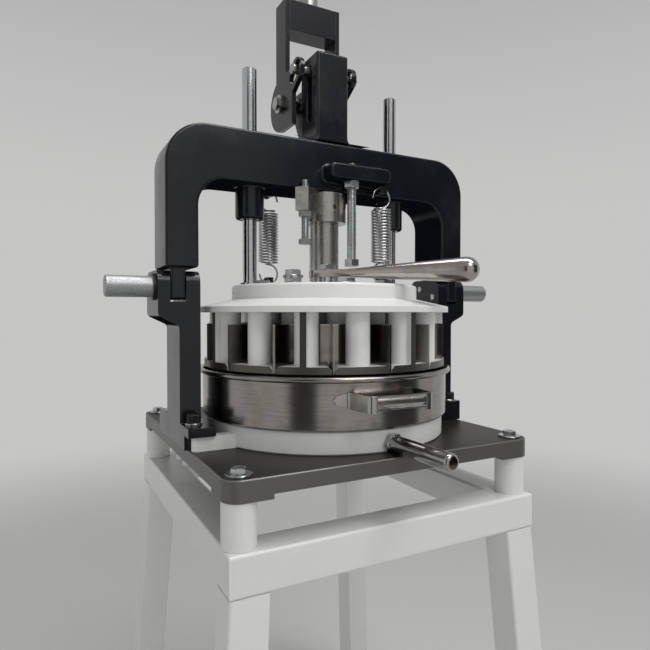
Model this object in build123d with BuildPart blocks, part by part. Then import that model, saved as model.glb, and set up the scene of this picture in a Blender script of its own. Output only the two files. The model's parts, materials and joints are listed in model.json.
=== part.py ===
from build123d import *
import os
from math import atan, cos, pi, radians, sin, sqrt

os.makedirs("parts", exist_ok=True)

# Clearances: running fit on a radius, seat under a fastener, gap between flat faces, drilled hole
running_fit = 0.05
seat_gap = 0.02
face_gap = 0.3
drill_gap = 0.5

# Stand of box tubes on splayed legs
stand_height = 607.0
rail_size = 50.0
tube_wall = 3.0
tube_round = 4.0
stand_inset = 2.0
stand_front_overhang = 4.0
stand_rear_overhang = 12.0
leg_splay = 34.0
rubber_foot_height = 18.0
rubber_foot_radius = 29.0

# Spacer posts and base plate
post_height = 56.0
post_radius = 21.25
plate_width = 476.0
plate_depth = 508.0
plate_thickness = 21.0
plate_middle = 35.0
plate_corner_radius = 22.0
plate_bevel = 1.2
corner_pad_height = 6.0
corner_pad_length = 58.0
corner_bolt_inset = 22.5
corner_bolt_radius = 5.0
corner_bolt_across = 17.0
corner_bolt_head = 6.4
corner_bolt_depth = 30.0
corner_washer_radius = 16.0

# Common bolt sizes
bolt_radius = 6.0
bolt_across = 19.0
bolt_head = 8.0
washer_thickness = 2.5

# Uprights: foot, column and fork in one casting
upright_overhang = 6.0
upright_thickness = 30.0
fork_overhang = 29.0
upright_front = -30.0
upright_rear = 52.0
shoulder_low = 170.0
shoulder_high = 184.0
shoulder_round = 8.0
fork_height = 248.0
fork_round = 18.0
fork_prong = 20.0
fork_slot = 22.0
fork_slot_floor = 204.0
foot_step = 8.0
foot_height = 33.0
foot_front = -54.0
left_foot_rear = 110.0
lip_height = 20.5
lip_reach = 22.0
foot_screw_inset = 16.0
foot_screw_y = -43.0
foot_screw_rear = 82.0
foot_screw_head_radius = 9.5
foot_screw_head = 12.0
foot_screw_socket = 10.0
foot_washer_radius = 12.0
foot_screw_depth = 15.0
upright_bolt_y = 20.0
upright_bolt_depth = 40.0

# Rods through the forks
rod_radius = 15.0
rod_height = 225.0
rod_y = -5.0
rod_seat_wall = 8.0
rod_overhang = 66.0
rod_bevel = 1.5
rod_ring_radius = 19.0
rod_ring_length = 4.0
lock_pin_radius = 3.5
lock_pin_length = 6.0
lock_pin_proud = 0.6
lock_pin_high = (22.0, 232.0)
lock_pin_low = (-15.0, 217.0)

# Arch casting
arch_shoulder = 7.0
arch_side = 46.0
arch_front = -35.0
arch_rear = 45.0
arch_foot = 252.0
arch_under = 380.0
arch_top = 457.0
arch_outer_radius = 60.0
arch_inner_radius = 40.0
arch_edge_round = 4.0
tongue_gap = 3.5
guide_reach = 129.0
guide_boss_radius = 22.0
guide_boss_length = 49.0
bush_wall = 4.0
guide_bush_length = 62.0
hook_boss_length = 110.0
hook_boss_middle = 35.0
hook_boss_reach = 28.0
hook_boss_low = 396.0
hook_boss_high = 420.0
hook_boss_round = 9.0
neck_half = 28.0
neck_rear = 30.0
neck_height = 600.0
neck_fillet = 14.0
lug_half = 20.0
lug_radius = 24.0

# Shaft, collar and adjusting bolts
shaft_radius = 24.0
shaft_neck_radius = 15.0
shaft_top = 594.0
collar_radius = 36.0
collar_height = 46.0
collar_bolt_x = -55.0
collar_bolt_y = -42.0
collar_arm_width = 22.0
collar_arm_height = 36.0
collar_hole_radius = 3.5
depth_bolt_low = 293.0
depth_bolt_high = 391.0
depth_nut_height = 9.0
stop_bolt_x = 23.0
stop_bolt_y = -50.0
stop_bolt_radius = 7.0
stop_bolt_across = 22.0
stop_bolt_low = 262.0
stop_bolt_high = 423.0
stop_nut_height = 11.0

# Return springs hooked on pegs
spring_x = 79.0
rear_spring_x = -74.0
spring_standoff = 15.0
spring_radius = 15.5
wire_radius = 1.6
spring_pitch = 4.7
spring_turns = 18
spring_low = 272.0
spring_eye_radius = 16.0
spring_end_rise = 2.4
peg_radius = 3.5
peg_head_radius = 5.5
peg_head = 5.0
peg_stud_radius = 4.5
peg_stud_depth = 12.0
peg_reach = 5.0

# Pan on its base disc
base_step = 4.7
base_height = 32.0
base_edge = 2.0
ear_inset = 2.0
ear_height = 20.0
ear_front = -70.0
ear_rear = -54.6
ear_overlap = 40.0
ear_round = 6.0
flange_lip = 4.8
pan_wall = 1.5
pan_floor = 2.0
pan_height = 72.7
pan_bead = 4.2
pan_corner = 3.0
base_lever_height = 13.0
base_lever_radius = 11.2
base_stud_radius = 8.0
base_lever_reach = 312.0
base_lever_turn = 1.0
base_lever_seat = 20.0
base_nut_across = 24.0
base_nut_length = 10.0
pan_handle_angle = -93.0
grip_half = 45.0
grip_radius = 9.5
grip_standoff = 30.0
grip_height = 42.0
strap_height = 22.0
strap_thickness = 2.5
strap_tab_angle = 5.5
strap_foot_angle = 15.0

# Crown: pads hung from the flange, with blades and ring knives between them
head_lift = 2.3
pad_thickness = 10.0
pad_notch = 4.5
pad_clearance = 1.2
pad_inner = 28.0
blade_thickness = 2.5
blade_height = 65.0
blade_bevel = 7.0
blade_edge = 0.6
blade_gap = 0.8
blade_clearance = 2.7
outer_count = 15
middle_count = 10
inner_count = 5
outer_pad_width = 56.3
inner_ring_radius = 79.2
crown_depth = 82.0
outer_post_radius = 16.75
middle_post_radius = 15.0
outer_post_inset = 25.5
post_rib = 9.0
rib_count = 7
hub_radius = 26.0
flange_clearance = 14.5
flange_rim = 9.0
flange_height = 20.0
flange_shoulder = 2.0
disc_radius = 150.0
disc_height = 22.0
disc_round = 4.0
rod_screw_angle = 172.0
rod_screw_radius = 2.5
rod_screw_depth = 8.0
disc_bolt_reach = 104.0
disc_bolt_start = -99.0
disc_bolt_count = 8
disc_bolt_radius = 8.0
disc_bolt_across = 24.0
disc_bolt_head = 6.0
disc_washer_radius = 14.5
disc_washer = 2.5
disc_bolt_depth = 16.0
lever_stop_place = 7
lever_stop_flange = 4.5
lever_stop_radius = 15.0
lever_stop_head = 8.0
lever_stop_across = 22.0
guide_rod_radius = 11.0
guide_rod_top = 560.0
guide_collar_radius = 16.0
guide_collar = 3.0

# Lock lever on top of the disc
lock_x = -22.0
lock_y = -48.0
lock_angle = -51.0
lock_spacer = 12.5
lock_thickness = 11.0
lock_half_width = 14.0
lock_root = 44.0
lock_tail = 14.0
lock_length = 214.0
lock_neck_radius = 6.5
lock_end_radius = 18.0
lock_bolt_radius = 8.0
lock_bolt_across = 24.0
lock_bolt_head = 8.0

# Main lever above the arch
pivot_y = 60.0
pivot_height = 540.0
pivot_radius = 10.0
pivot_reach = 62.0
pivot_ring = 5.0
pivot_ring_radius = 15.0
cheek_near = 43.0
cheek_thickness = 8.0
cheek_radius = 45.0
cheek_nose = 17.0
cheek_length = 170.0
cross_pin_radius = 8.0
cross_pin_height = 576.0
cross_pin_slack = 1.7
block_low = 120.0
block_depth = 40.0
lever_tube_radius = 17.0
lever_tube_wall = 3.0
lever_reach = 560.0
lever_grip_length = 125.0
lever_grip_wall = 4.0
dough_gap = 1.0

# Places across the press that follow from the plate's size
plate_half = plate_width / 2
stand_front = plate_middle - plate_depth / 2 - stand_front_overhang
stand_rear = plate_middle + plate_depth / 2 + stand_rear_overhang
stand_half_width = plate_half - stand_inset
upright_outer = plate_half + upright_overhang
upright_inner = upright_outer - upright_thickness
fork_outer = upright_outer + fork_overhang
fork_slot_near = upright_inner + fork_prong
fork_slot_far = fork_slot_near + fork_slot
foot_inner = upright_inner - foot_step
foot_screw_x = upright_outer - foot_screw_inset
rod_near = upright_inner + rod_seat_wall
rod_far = fork_outer + rod_overhang
arch_outer = fork_slot_far + arch_shoulder
arch_inner = arch_outer - arch_side
flange_radius = upright_inner - flange_clearance
pan_inner = flange_radius - flange_lip
pan_outer = pan_inner + pan_wall
base_radius = pan_inner - base_step
ear_reach = plate_half - ear_inset
ear_root = base_radius - ear_overlap
pad_outer = pan_inner - pad_clearance
blade_reach = pan_inner - blade_clearance
outer_ring_radius = pad_outer - outer_pad_width
outer_post_reach = pad_outer - outer_post_inset
middle_post_reach = (outer_ring_radius + inner_ring_radius) / 2
inner_post_reach = (inner_ring_radius + pad_inner) / 2

# Heights above the floor that follow from the sizes above
rail_low = stand_height - rail_size
rail_middle = stand_height - rail_size / 2
pad_low = stand_height + post_height
plate_low = pad_low + corner_pad_height
plate_top = plate_low + plate_thickness
base_top = plate_top + base_height
pan_rim = base_top + pan_height
crown_low = pan_rim + head_lift
pads_top = crown_low + pad_thickness
blade_top = crown_low + blade_height
flange_low = crown_low + crown_depth
disc_low = flange_low + flange_height
disc_top = disc_low + disc_height
hub_top = flange_low - face_gap
collar_top = plate_top + arch_under - face_gap
collar_low = collar_top - collar_height
pivot_z = plate_top + pivot_height
cross_pin_z = plate_top + cross_pin_height
stroke = crown_low - base_top - pan_corner - dough_gap
rod_z = plate_top + rod_height
spring_top = plate_top + spring_low + spring_turns * spring_pitch
spring_bottom = plate_top + spring_low

# Sizes are measured from the press axis; the saved pieces are moved so the whole stands centred front to back
rear_reach = stand_rear - rail_size / 2 + leg_splay + rubber_foot_radius
lever_end_round = base_lever_radius / 2
lever_turn = radians(base_lever_turn)
lever_end_reach = (base_lever_reach - lever_end_round) * cos(lever_turn)
front_reach = lever_end_reach + lever_end_round * (1 + sin(lever_turn))
centre_shift = Location((0, (front_reach - rear_reach) / 2, 0))


def save(piece, name):
    placed = piece.part.moved(centre_shift)
    placed.label = name
    export_step(placed, f"parts/{name}.step")


# Upright cylinder, tube, hexagon and block, and cylinders lying along the other two axes
def round_z(x, y, low, high, radius, mode=Mode.ADD):
    with BuildSketch(Plane.XY.offset(low)) as outline:
        with Locations((x, y)):
            Circle(radius)
    extrude(outline.sketch, amount=high - low, mode=mode)


def ring_z(x, y, low, high, radius, hole):
    with BuildSketch(Plane.XY.offset(low)) as outline:
        with Locations((x, y)):
            Circle(radius)
            Circle(hole, mode=Mode.SUBTRACT)
    extrude(outline.sketch, amount=high - low)


def hex_z(x, y, low, high, across, hole=0):
    with BuildSketch(Plane.XY.offset(low)) as outline:
        with Locations((x, y)):
            RegularPolygon(across / 2, 6, major_radius=False)
            if hole:
                Circle(hole, mode=Mode.SUBTRACT)
    extrude(outline.sketch, amount=high - low)


def block_z(left, right, front, rear, low, high, mode=Mode.ADD):
    with BuildSketch(Plane.XY.offset(low)) as outline:
        with Locations(((left + right) / 2, (front + rear) / 2)):
            Rectangle(right - left, rear - front)
    extrude(outline.sketch, amount=high - low, mode=mode)


def round_x(left, right, y, z, radius, mode=Mode.ADD):
    with BuildSketch(Plane.YZ.offset(left)) as outline:
        with Locations((y, z)):
            Circle(radius)
    extrude(outline.sketch, amount=right - left, mode=mode)


def ring_x(left, right, y, z, radius, hole):
    with BuildSketch(Plane.YZ.offset(left)) as outline:
        with Locations((y, z)):
            Circle(radius)
            Circle(hole, mode=Mode.SUBTRACT)
    extrude(outline.sketch, amount=right - left)


def round_y(front, rear, x, z, radius, mode=Mode.ADD):
    with BuildSketch(Plane.XZ.offset(-rear)) as outline:
        with Locations((x, z)):
            Circle(radius)
    extrude(outline.sketch, amount=rear - front, mode=mode)


def polar(radius, angle):
    return (radius * cos(radians(angle)), radius * sin(radians(angle)))


# Plane standing upright across a radius, with its own upward direction along Z
def radial_plane(radius, angle):
    across = (-sin(radians(angle)), cos(radians(angle)), 0)
    outward = (cos(radians(angle)), sin(radians(angle)), 0)
    return Plane(origin=(*polar(radius, angle), 0), x_dir=across, z_dir=outward)


# Stand rails of square tube, mitred where they meet
def square_tube(plane, middle, size, length, direction=None):
    with BuildSketch(plane) as outline:
        with Locations(middle):
            RectangleRounded(size, size, tube_round)
            inside = size - 2 * tube_wall
            RectangleRounded(inside, inside, tube_round - tube_wall, mode=Mode.SUBTRACT)
    extrude(outline.sketch, amount=length, dir=direction)


front_rail_y = stand_front + rail_size / 2
rear_rail_y = stand_rear - rail_size / 2
side_rail_x = stand_half_width - rail_size / 2
stand_width = 2 * stand_half_width
stand_depth = stand_rear - stand_front


# Cut a rail along the diagonal of a corner and keep the side that the direction points to
def mitre(x, y, toward_x, toward_y):
    split(bisect_by=Plane(origin=(x, y, 0), z_dir=(toward_x, toward_y, 0)), keep=Keep.TOP)


for name, rail_y, outer_y, end in (
    ("stand_front_rail", front_rail_y, stand_front, -1),
    ("stand_rear_rail", rear_rail_y, stand_rear, 1),
):
    with BuildPart() as rail:
        square_tube(Plane.YZ.offset(-stand_half_width), (rail_y, rail_middle), rail_size, stand_width)
        for side in (-1, 1):
            mitre(side * stand_half_width, outer_y, -side, end)
    save(rail, name)

for name, rail_x, side in (("stand_left_rail", -side_rail_x, -1), ("stand_right_rail", side_rail_x, 1)):
    with BuildPart() as rail:
        square_tube(Plane.XZ.offset(-stand_rear), (rail_x, rail_middle), rail_size, stand_depth)
        for end, outer_y in ((-1, stand_front), (1, stand_rear)):
            mitre(side * stand_half_width, outer_y, side, -end)
    save(rail, name)

# Splayed legs from the rails' underside to the rubber feet
leg_drop = rail_low - rubber_foot_height
leg_length = sqrt(leg_drop**2 + 2 * leg_splay**2)
leg_places = {
    "leg_front_left": (-1, -1, -side_rail_x, front_rail_y),
    "leg_front_right": (1, -1, side_rail_x, front_rail_y),
    "leg_rear_left": (-1, 1, -side_rail_x, rear_rail_y),
    "leg_rear_right": (1, 1, side_rail_x, rear_rail_y),
}
for name, (side, end, x, y) in leg_places.items():
    with BuildPart() as leg:
        foot_place = (x + side * leg_splay, y + end * leg_splay)
        lean = (-side * leg_splay, -end * leg_splay, leg_drop)
        square_tube(Plane.XY.offset(rubber_foot_height), foot_place, rail_size, leg_length, lean)
    save(leg, name)

with BuildPart() as rubber_feet:
    for side, end, x, y in leg_places.values():
        round_z(x + side * leg_splay, y + end * leg_splay, 0, rubber_foot_height, rubber_foot_radius)
save(rubber_feet, "rubber_feet")

# Base plate, its spacer posts and corner bolts
bolt_x = plate_half - corner_bolt_inset
bolt_y = plate_depth / 2 - corner_bolt_inset
corner_places = [(x, plate_middle + y) for x in (-bolt_x, bolt_x) for y in (-bolt_y, bolt_y)]
upright_bolt_places = [
    (x, y) for x in (-foot_screw_x, foot_screw_x) for y in (-upright_bolt_y, upright_bolt_y)
]
foot_screw_places = [
    (-foot_screw_x, foot_screw_y),
    (foot_screw_x, foot_screw_y),
    (-foot_screw_x, foot_screw_rear),
]

with BuildPart() as spacer_posts:
    for x, y in corner_places:
        ring_z(x, y, stand_height, pad_low, post_radius, corner_bolt_radius + running_fit)
save(spacer_posts, "spacer_posts")

with BuildPart() as base_plate:
    with BuildSketch(Plane.XY.offset(pad_low)) as plate_outline:
        with Locations((0, plate_middle)):
            RectangleRounded(plate_width, plate_depth, plate_corner_radius)
    extrude(amount=plate_top - pad_low)
    chamfer(base_plate.faces().sort_by(Axis.Z)[-1].edges(), plate_bevel)
    pad_x = plate_half - corner_pad_length
    pad_y = plate_depth / 2 - corner_pad_length
    with BuildSketch(Plane.XY.offset(pad_low)) as relief:
        with Locations((0, plate_middle)):
            Rectangle(2 * pad_x, plate_depth)
            Rectangle(plate_width, 2 * pad_y)
    extrude(amount=corner_pad_height, mode=Mode.SUBTRACT)
    for x, y in corner_places:
        round_z(x, y, pad_low, plate_top, corner_bolt_radius + drill_gap, Mode.SUBTRACT)
    for x, y in upright_bolt_places:
        round_z(x, y, pad_low, plate_top, bolt_radius + drill_gap, Mode.SUBTRACT)
    for x, y in foot_screw_places:
        round_z(x, y, plate_top - foot_screw_depth, plate_top, bolt_radius + running_fit, Mode.SUBTRACT)
save(base_plate, "base_plate")

with BuildPart() as corner_bolts:
    for x, y in corner_places:
        head_low = plate_top + washer_thickness + 2 * seat_gap
        washer_hole = corner_bolt_radius + drill_gap
        ring_z(x, y, plate_top + seat_gap, head_low - seat_gap, corner_washer_radius, washer_hole)
        hex_z(x, y, head_low, head_low + corner_bolt_head, corner_bolt_across)
        round_z(x, y, pad_low - corner_bolt_depth, head_low, corner_bolt_radius)
save(corner_bolts, "corner_bolts")

with BuildPart() as upright_bolts:
    for x, y in upright_bolt_places:
        hex_z(x, y, plate_low - bolt_head, plate_low, bolt_across)
        round_z(x, y, plate_low, plate_top + upright_bolt_depth, bolt_radius)
save(upright_bolts, "upright_bolts")


# Upright casting: column and fork from the front profile, then the foot with the lip that holds the base ear
def upright(side, foot_from, foot_to, lip_from, lip_to):
    profile = [
        (side * upright_inner, plate_top),
        (side * upright_outer, plate_top),
        (side * upright_outer, plate_top + shoulder_low),
        (side * fork_outer, plate_top + shoulder_high),
        (side * fork_outer, plate_top + fork_height),
        (side * upright_inner, plate_top + fork_height),
    ]
    with BuildPart() as casting:
        with BuildSketch(Plane.XZ.offset(-upright_rear)) as column:
            with BuildLine():
                Polyline(*profile, close=True)
            make_face()
        extrude(amount=upright_rear - upright_front)
        along = casting.edges().filter_by(Axis.Y)
        shoulder = along.filter_by_position(Axis.Z, plate_top + shoulder_low, plate_top + shoulder_high)
        fillet(shoulder, shoulder_round)
        near, far = sorted((side * fork_slot_near, side * fork_slot_far))
        slot_floor = plate_top + fork_slot_floor
        block_z(near, far, upright_front, upright_rear, slot_floor, plate_top + fork_height, Mode.SUBTRACT)
        fillet(casting.edges().filter_by(Axis.X).group_by(Axis.Z)[-1], fork_round)
        left, right = sorted((side * foot_inner, side * upright_outer))
        foot_top = plate_top + foot_height
        block_z(left, right, foot_from, foot_to, plate_top, foot_top)
        block_z(left, right, lip_from, lip_to, plate_top + lip_height, foot_top)
        start, end = sorted((side * rod_near, side * fork_outer))
        round_x(start, end, rod_y, rod_z, rod_radius + running_fit, Mode.SUBTRACT)
        pin_start, pin_end = sorted((side * upright_inner, side * (upright_inner + lock_pin_length)))
        for y, height in (lock_pin_high, lock_pin_low):
            round_x(pin_start, pin_end, y, plate_top + height, lock_pin_radius + running_fit, Mode.SUBTRACT)
        for x, y in foot_screw_places:
            round_z(x, y, plate_top, foot_top, bolt_radius + drill_gap, Mode.SUBTRACT)
        for x, y in upright_bolt_places:
            round_z(x, y, plate_top, plate_top + upright_bolt_depth, bolt_radius + running_fit, Mode.SUBTRACT)
    return casting


left_upright = upright(-1, foot_front, left_foot_rear, foot_front - lip_reach, foot_front)
save(left_upright, "left_upright")
right_upright = upright(1, foot_front, -foot_front, -foot_front, lip_reach - foot_front)
save(right_upright, "right_upright")

with BuildPart() as foot_screws:
    for x, y in foot_screw_places:
        foot_top = plate_top + foot_height
        head_low = foot_top + washer_thickness + 2 * seat_gap
        head_high = head_low + foot_screw_head
        ring_z(x, y, foot_top + seat_gap, head_low - seat_gap, foot_washer_radius, bolt_radius + drill_gap)
        round_z(x, y, head_low, head_high, foot_screw_head_radius)
        round_z(x, y, plate_top - foot_screw_depth + face_gap, head_low, bolt_radius)
        with BuildSketch(Plane.XY.offset(head_high)) as socket:
            with Locations((x, y)):
                RegularPolygon(foot_screw_socket / 2, 6, major_radius=False)
        extrude(socket.sketch, amount=-foot_screw_head / 2, mode=Mode.SUBTRACT)
save(foot_screws, "foot_screws")

# Cross rods with their rings and lock pins
for name, side in (("left_cross_rod", -1), ("right_cross_rod", 1)):
    with BuildPart() as cross_rod:
        start, end = sorted((side * (rod_near + face_gap), side * rod_far))
        round_x(start, end, rod_y, rod_z, rod_radius)
        chamfer(cross_rod.edges().filter_by(GeomType.CIRCLE), rod_bevel)
    save(cross_rod, name)

with BuildPart() as rod_rings:
    for side in (-1, 1):
        start, end = sorted((side * (fork_outer + seat_gap), side * (fork_outer + rod_ring_length)))
        ring_x(start, end, rod_y, rod_z, rod_ring_radius, rod_radius + running_fit)
save(rod_rings, "rod_rings")

with BuildPart() as rod_lock_pins:
    for side in (-1, 1):
        pin_near = upright_inner - lock_pin_proud
        pin_far = upright_inner + lock_pin_length
        start, end = sorted((side * pin_near, side * pin_far))
        for y, height in (lock_pin_high, lock_pin_low):
            round_x(start, end, y, plate_top + height, lock_pin_radius)
save(rod_lock_pins, "rod_lock_pins")

# Arch: bow and tongues, guide bosses, hook bosses with stud holes, neck and pivot lug
arch_under_z = plate_top + arch_under
arch_top_z = plate_top + arch_top
arch_foot_z = plate_top + arch_foot
neck_top = plate_top + neck_height
bush_low = arch_under_z - guide_boss_length
bush_high = bush_low + guide_bush_length
guide_bush_radius = guide_rod_radius + bush_wall
spring_places = (
    (spring_x, arch_front - spring_standoff),
    (rear_spring_x, arch_rear + spring_standoff),
)


# Direction from the arch towards a spring's outer side, and the place of its peg's stud on the inner side
def outward(y):
    return 1 if y > 0 else -1


def stud_place(y):
    return y - outward(y) * (peg_reach + peg_stud_radius)


eye_top = spring_top + spring_end_rise + 2 * spring_eye_radius
eye_low = spring_bottom - spring_end_rise - 2 * spring_eye_radius
upper_peg_z = eye_top - wire_radius - peg_radius - face_gap
lower_peg_z = eye_low + wire_radius + peg_radius + face_gap
hook_boss_low_z = plate_top + hook_boss_low
hook_boss_high_z = plate_top + hook_boss_high

with BuildPart() as arch:
    with BuildSketch(Plane.XZ.offset(-arch_rear)) as bow:
        with Locations((0, (arch_foot_z + arch_top_z) / 2)):
            Rectangle(2 * arch_outer, arch_top_z - arch_foot_z)
        fillet(bow.vertices().group_by(Axis.Y)[-1], arch_outer_radius)
        with Locations((0, (arch_foot_z + arch_under_z) / 2)):
            Rectangle(2 * arch_inner, arch_under_z - arch_foot_z, mode=Mode.SUBTRACT)
        under = (arch_under_z - face_gap, arch_under_z + face_gap)
        fillet(bow.vertices().filter_by_position(Axis.Y, *under), arch_inner_radius)
    extrude(amount=arch_rear - arch_front)
    faces_along = arch.faces().sort_by(Axis.Y)
    fillet(faces_along[0].edges() + faces_along[-1].edges(), arch_edge_round)
    neck_base = arch_top_z - arch_edge_round
    with BuildSketch(Plane.XZ.offset(-neck_rear)) as neck:
        with BuildLine():
            flare = neck_half + neck_fillet
            Polyline((-flare, arch_top_z), (-flare, neck_base), (flare, neck_base), (flare, arch_top_z))
            RadiusArc((-flare, arch_top_z), (-neck_half, arch_top_z + neck_fillet), -neck_fillet)
            RadiusArc((flare, arch_top_z), (neck_half, arch_top_z + neck_fillet), neck_fillet)
            Polyline(
                (-neck_half, arch_top_z + neck_fillet),
                (-neck_half, neck_top),
                (neck_half, neck_top),
                (neck_half, arch_top_z + neck_fillet),
            )
        make_face()
    extrude(amount=neck_rear - arch_front - arch_edge_round)
    for side in (-1, 1):
        near, far = sorted((side * (fork_slot_near + face_gap), side * (fork_slot_far - face_gap)))
        tongue_low = plate_top + fork_slot_floor + tongue_gap
        tongue_front = arch_front + arch_edge_round
        tongue_rear = arch_rear - arch_edge_round
        block_z(near, far, tongue_front, tongue_rear, tongue_low, arch_foot_z)
        round_x(near, far, rod_y, rod_z, rod_radius + running_fit, Mode.SUBTRACT)
        round_z(side * guide_reach, 0, arch_under_z - guide_boss_length, arch_under_z, guide_boss_radius)
    front_boss = (1, arch_front - hook_boss_reach, arch_front)
    rear_boss = (-1, arch_rear, arch_rear + hook_boss_reach)
    for side, boss_front, boss_rear in (front_boss, rear_boss):
        with BuildSketch(Plane.XZ.offset(-boss_rear)) as boss:
            with Locations((side * hook_boss_middle, (hook_boss_low_z + hook_boss_high_z) / 2)):
                RectangleRounded(hook_boss_length, hook_boss_high_z - hook_boss_low_z, hook_boss_round)
        extrude(amount=boss_rear - boss_front)
    with BuildSketch(Plane.YZ.offset(-lug_half)) as lug:
        with Locations((pivot_y, pivot_z)):
            Circle(lug_radius)
        with BuildLine():
            Polyline(
                (0, arch_top_z - arch_edge_round),
                (arch_rear - arch_edge_round, arch_top_z - arch_edge_round),
                (pivot_y + lug_radius * cos(pi / 6), pivot_z - lug_radius * sin(pi / 6)),
                (pivot_y, pivot_z + lug_radius),
                (0, pivot_z + lug_radius),
                close=True,
            )
        make_face()
    extrude(amount=2 * lug_half)
    round_x(-lug_half, lug_half, pivot_y, pivot_z, pivot_radius + running_fit, Mode.SUBTRACT)
    round_z(0, 0, arch_under_z, arch_top_z, shaft_neck_radius + bush_wall + running_fit, Mode.SUBTRACT)
    round_z(0, 0, arch_top_z, neck_top, shaft_neck_radius + drill_gap, Mode.SUBTRACT)
    with BuildSketch(Plane.YZ.offset(-neck_half)) as pin_slot:
        with Locations((0, cross_pin_z - stroke / 2)):
            SlotCenterToCenter(stroke, 2 * (cross_pin_radius + drill_gap), rotation=90)
    extrude(amount=2 * neck_half, mode=Mode.SUBTRACT)
    for side in (-1, 1):
        seat = guide_bush_radius + running_fit
        round_z(side * guide_reach, 0, bush_low, bush_high, seat, Mode.SUBTRACT)
        round_z(side * guide_reach, 0, bush_high, arch_top_z, guide_rod_radius + drill_gap, Mode.SUBTRACT)
    stop_hole = stop_bolt_radius + running_fit
    round_z(stop_bolt_x, stop_bolt_y, hook_boss_low_z, hook_boss_high_z, stop_hole, Mode.SUBTRACT)
    stud_hole = peg_stud_radius + running_fit
    for x, y in spring_places:
        round_z(x, stud_place(y), hook_boss_low_z, hook_boss_low_z + peg_stud_depth, stud_hole, Mode.SUBTRACT)
save(arch, "arch")

with BuildPart() as guide_bushes:
    for side in (-1, 1):
        ring_z(side * guide_reach, 0, bush_low, bush_high, guide_bush_radius, guide_rod_radius + running_fit)
save(guide_bushes, "guide_bushes")

with BuildPart() as shaft_bush:
    ring_z(0, 0, arch_under_z, arch_top_z, shaft_neck_radius + bush_wall, shaft_neck_radius + running_fit)
save(shaft_bush, "shaft_bush")

with BuildPart() as stop_bolt:
    head_low = plate_top + stop_bolt_low
    nut_high = hook_boss_low_z - seat_gap
    hex_z(stop_bolt_x, stop_bolt_y, head_low, head_low + stop_nut_height, stop_bolt_across)
    round_z(stop_bolt_x, stop_bolt_y, head_low, plate_top + stop_bolt_high, stop_bolt_radius)
    hex_z(stop_bolt_x, stop_bolt_y, nut_high - stop_nut_height, nut_high, stop_bolt_across, stop_hole)
save(stop_bolt, "stop_bolt")


# Peg through a spring eye, with a head outside, carried by an upright stud on the inner side
def spring_peg(x, y, peg_z, stud_low, stud_high):
    peg_end = y + outward(y) * peg_reach
    round_z(x, stud_place(y), stud_low, stud_high, peg_stud_radius)
    round_y(*sorted((stud_place(y), peg_end)), x, peg_z, peg_radius)
    round_y(*sorted((peg_end, peg_end + outward(y) * peg_head)), x, peg_z, peg_head_radius)


with BuildPart() as upper_spring_pegs:
    for x, y in spring_places:
        stud_high = hook_boss_low_z + peg_stud_depth - face_gap
        spring_peg(x, y, upper_peg_z, upper_peg_z - peg_stud_radius, stud_high)
save(upper_spring_pegs, "upper_spring_pegs")

with BuildPart() as lower_spring_pegs:
    for x, y in spring_places:
        spring_peg(x, y, lower_peg_z, disc_top, lower_peg_z + peg_stud_radius)
save(lower_spring_pegs, "lower_spring_pegs")


# One pair of tangent arcs between two points with given directions
def biarc(start, start_dir, end, end_dir):
    chord = end - start
    both = start_dir + end_dir
    spread = 2 * (1 - start_dir.dot(end_dir))
    reach = (sqrt(chord.dot(both) ** 2 + spread * chord.dot(chord)) - chord.dot(both)) / spread
    middle = (start + end + (start_dir - end_dir) * reach) / 2
    middle_dir = (chord - both * reach).normalized()
    TangentArc(start, middle, tangent=start_dir)
    TangentArc(middle, end, tangent=middle_dir)


# Extension spring: an eye at each end, a half turn in to the axis, and coils in half turns between
def return_spring(x, y):
    slope = spring_pitch / (2 * pi)
    facing = -outward(y)
    coil = []
    for step in range(2 * spring_turns + 1):
        turn = pi * step + facing * pi / 2
        level = spring_bottom + spring_pitch * step / 2
        place = Vector(x + spring_radius * cos(turn), y + spring_radius * sin(turn), level)
        heading = Vector(-spring_radius * sin(turn), spring_radius * cos(turn), slope).normalized()
        coil.append((place, heading))
    low_axis = Vector(x, y, spring_bottom - spring_end_rise)
    high_axis = Vector(x, y, spring_top + spring_end_rise)
    along = Vector(facing, 0, 0)
    up = Vector(0, 0, 1)
    with BuildLine() as wire:
        low_side = low_axis - (along + up) * spring_eye_radius
        low_end = low_axis - up * 2 * spring_eye_radius
        low_tip = low_axis + (along - up) * spring_eye_radius
        TangentArc(low_tip, low_end, tangent=-up)
        TangentArc(low_end, low_side, tangent=-along)
        TangentArc(low_side, low_axis, tangent=up)
        biarc(low_axis, along, *coil[0])
        for here, after in zip(coil, coil[1:]):
            biarc(*here, *after)
        biarc(*coil[-1], high_axis, along)
        high_side = high_axis + (along + up) * spring_eye_radius
        high_end = high_axis + up * 2 * spring_eye_radius
        high_tip = high_axis + (up - along) * spring_eye_radius
        TangentArc(high_axis, high_side, tangent=along)
        TangentArc(high_side, high_end, tangent=up)
        TangentArc(high_end, high_tip, tangent=-along)
    with BuildPart() as spring:
        with BuildSketch(Plane(origin=low_tip, x_dir=along, z_dir=-up)) as section:
            RegularPolygon(wire_radius, 8)
        sweep(section.sketch, path=wire.wire(), clean=False)
    return spring, wire.wire()


# Least free gap between points of the wire that lie more than half a turn apart
def least_gap(path):
    count = int(path.length / wire_radius)
    points = [path.position_at(step / count) for step in range(count + 1)]
    apart = int(pi * spring_radius / wire_radius)
    nearest = min(
        (points[here] - points[there]).length
        for here in range(len(points))
        for there in range(here + apart, min(here + 3 * apart, len(points)))
    )
    return nearest - 2 * wire_radius


for name, (x, y) in zip(("right_return_spring", "left_return_spring"), spring_places):
    spring, path = return_spring(x, y)
    print(name, "least gap between coils", round(least_gap(path), 2))
    save(spring, name)

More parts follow.
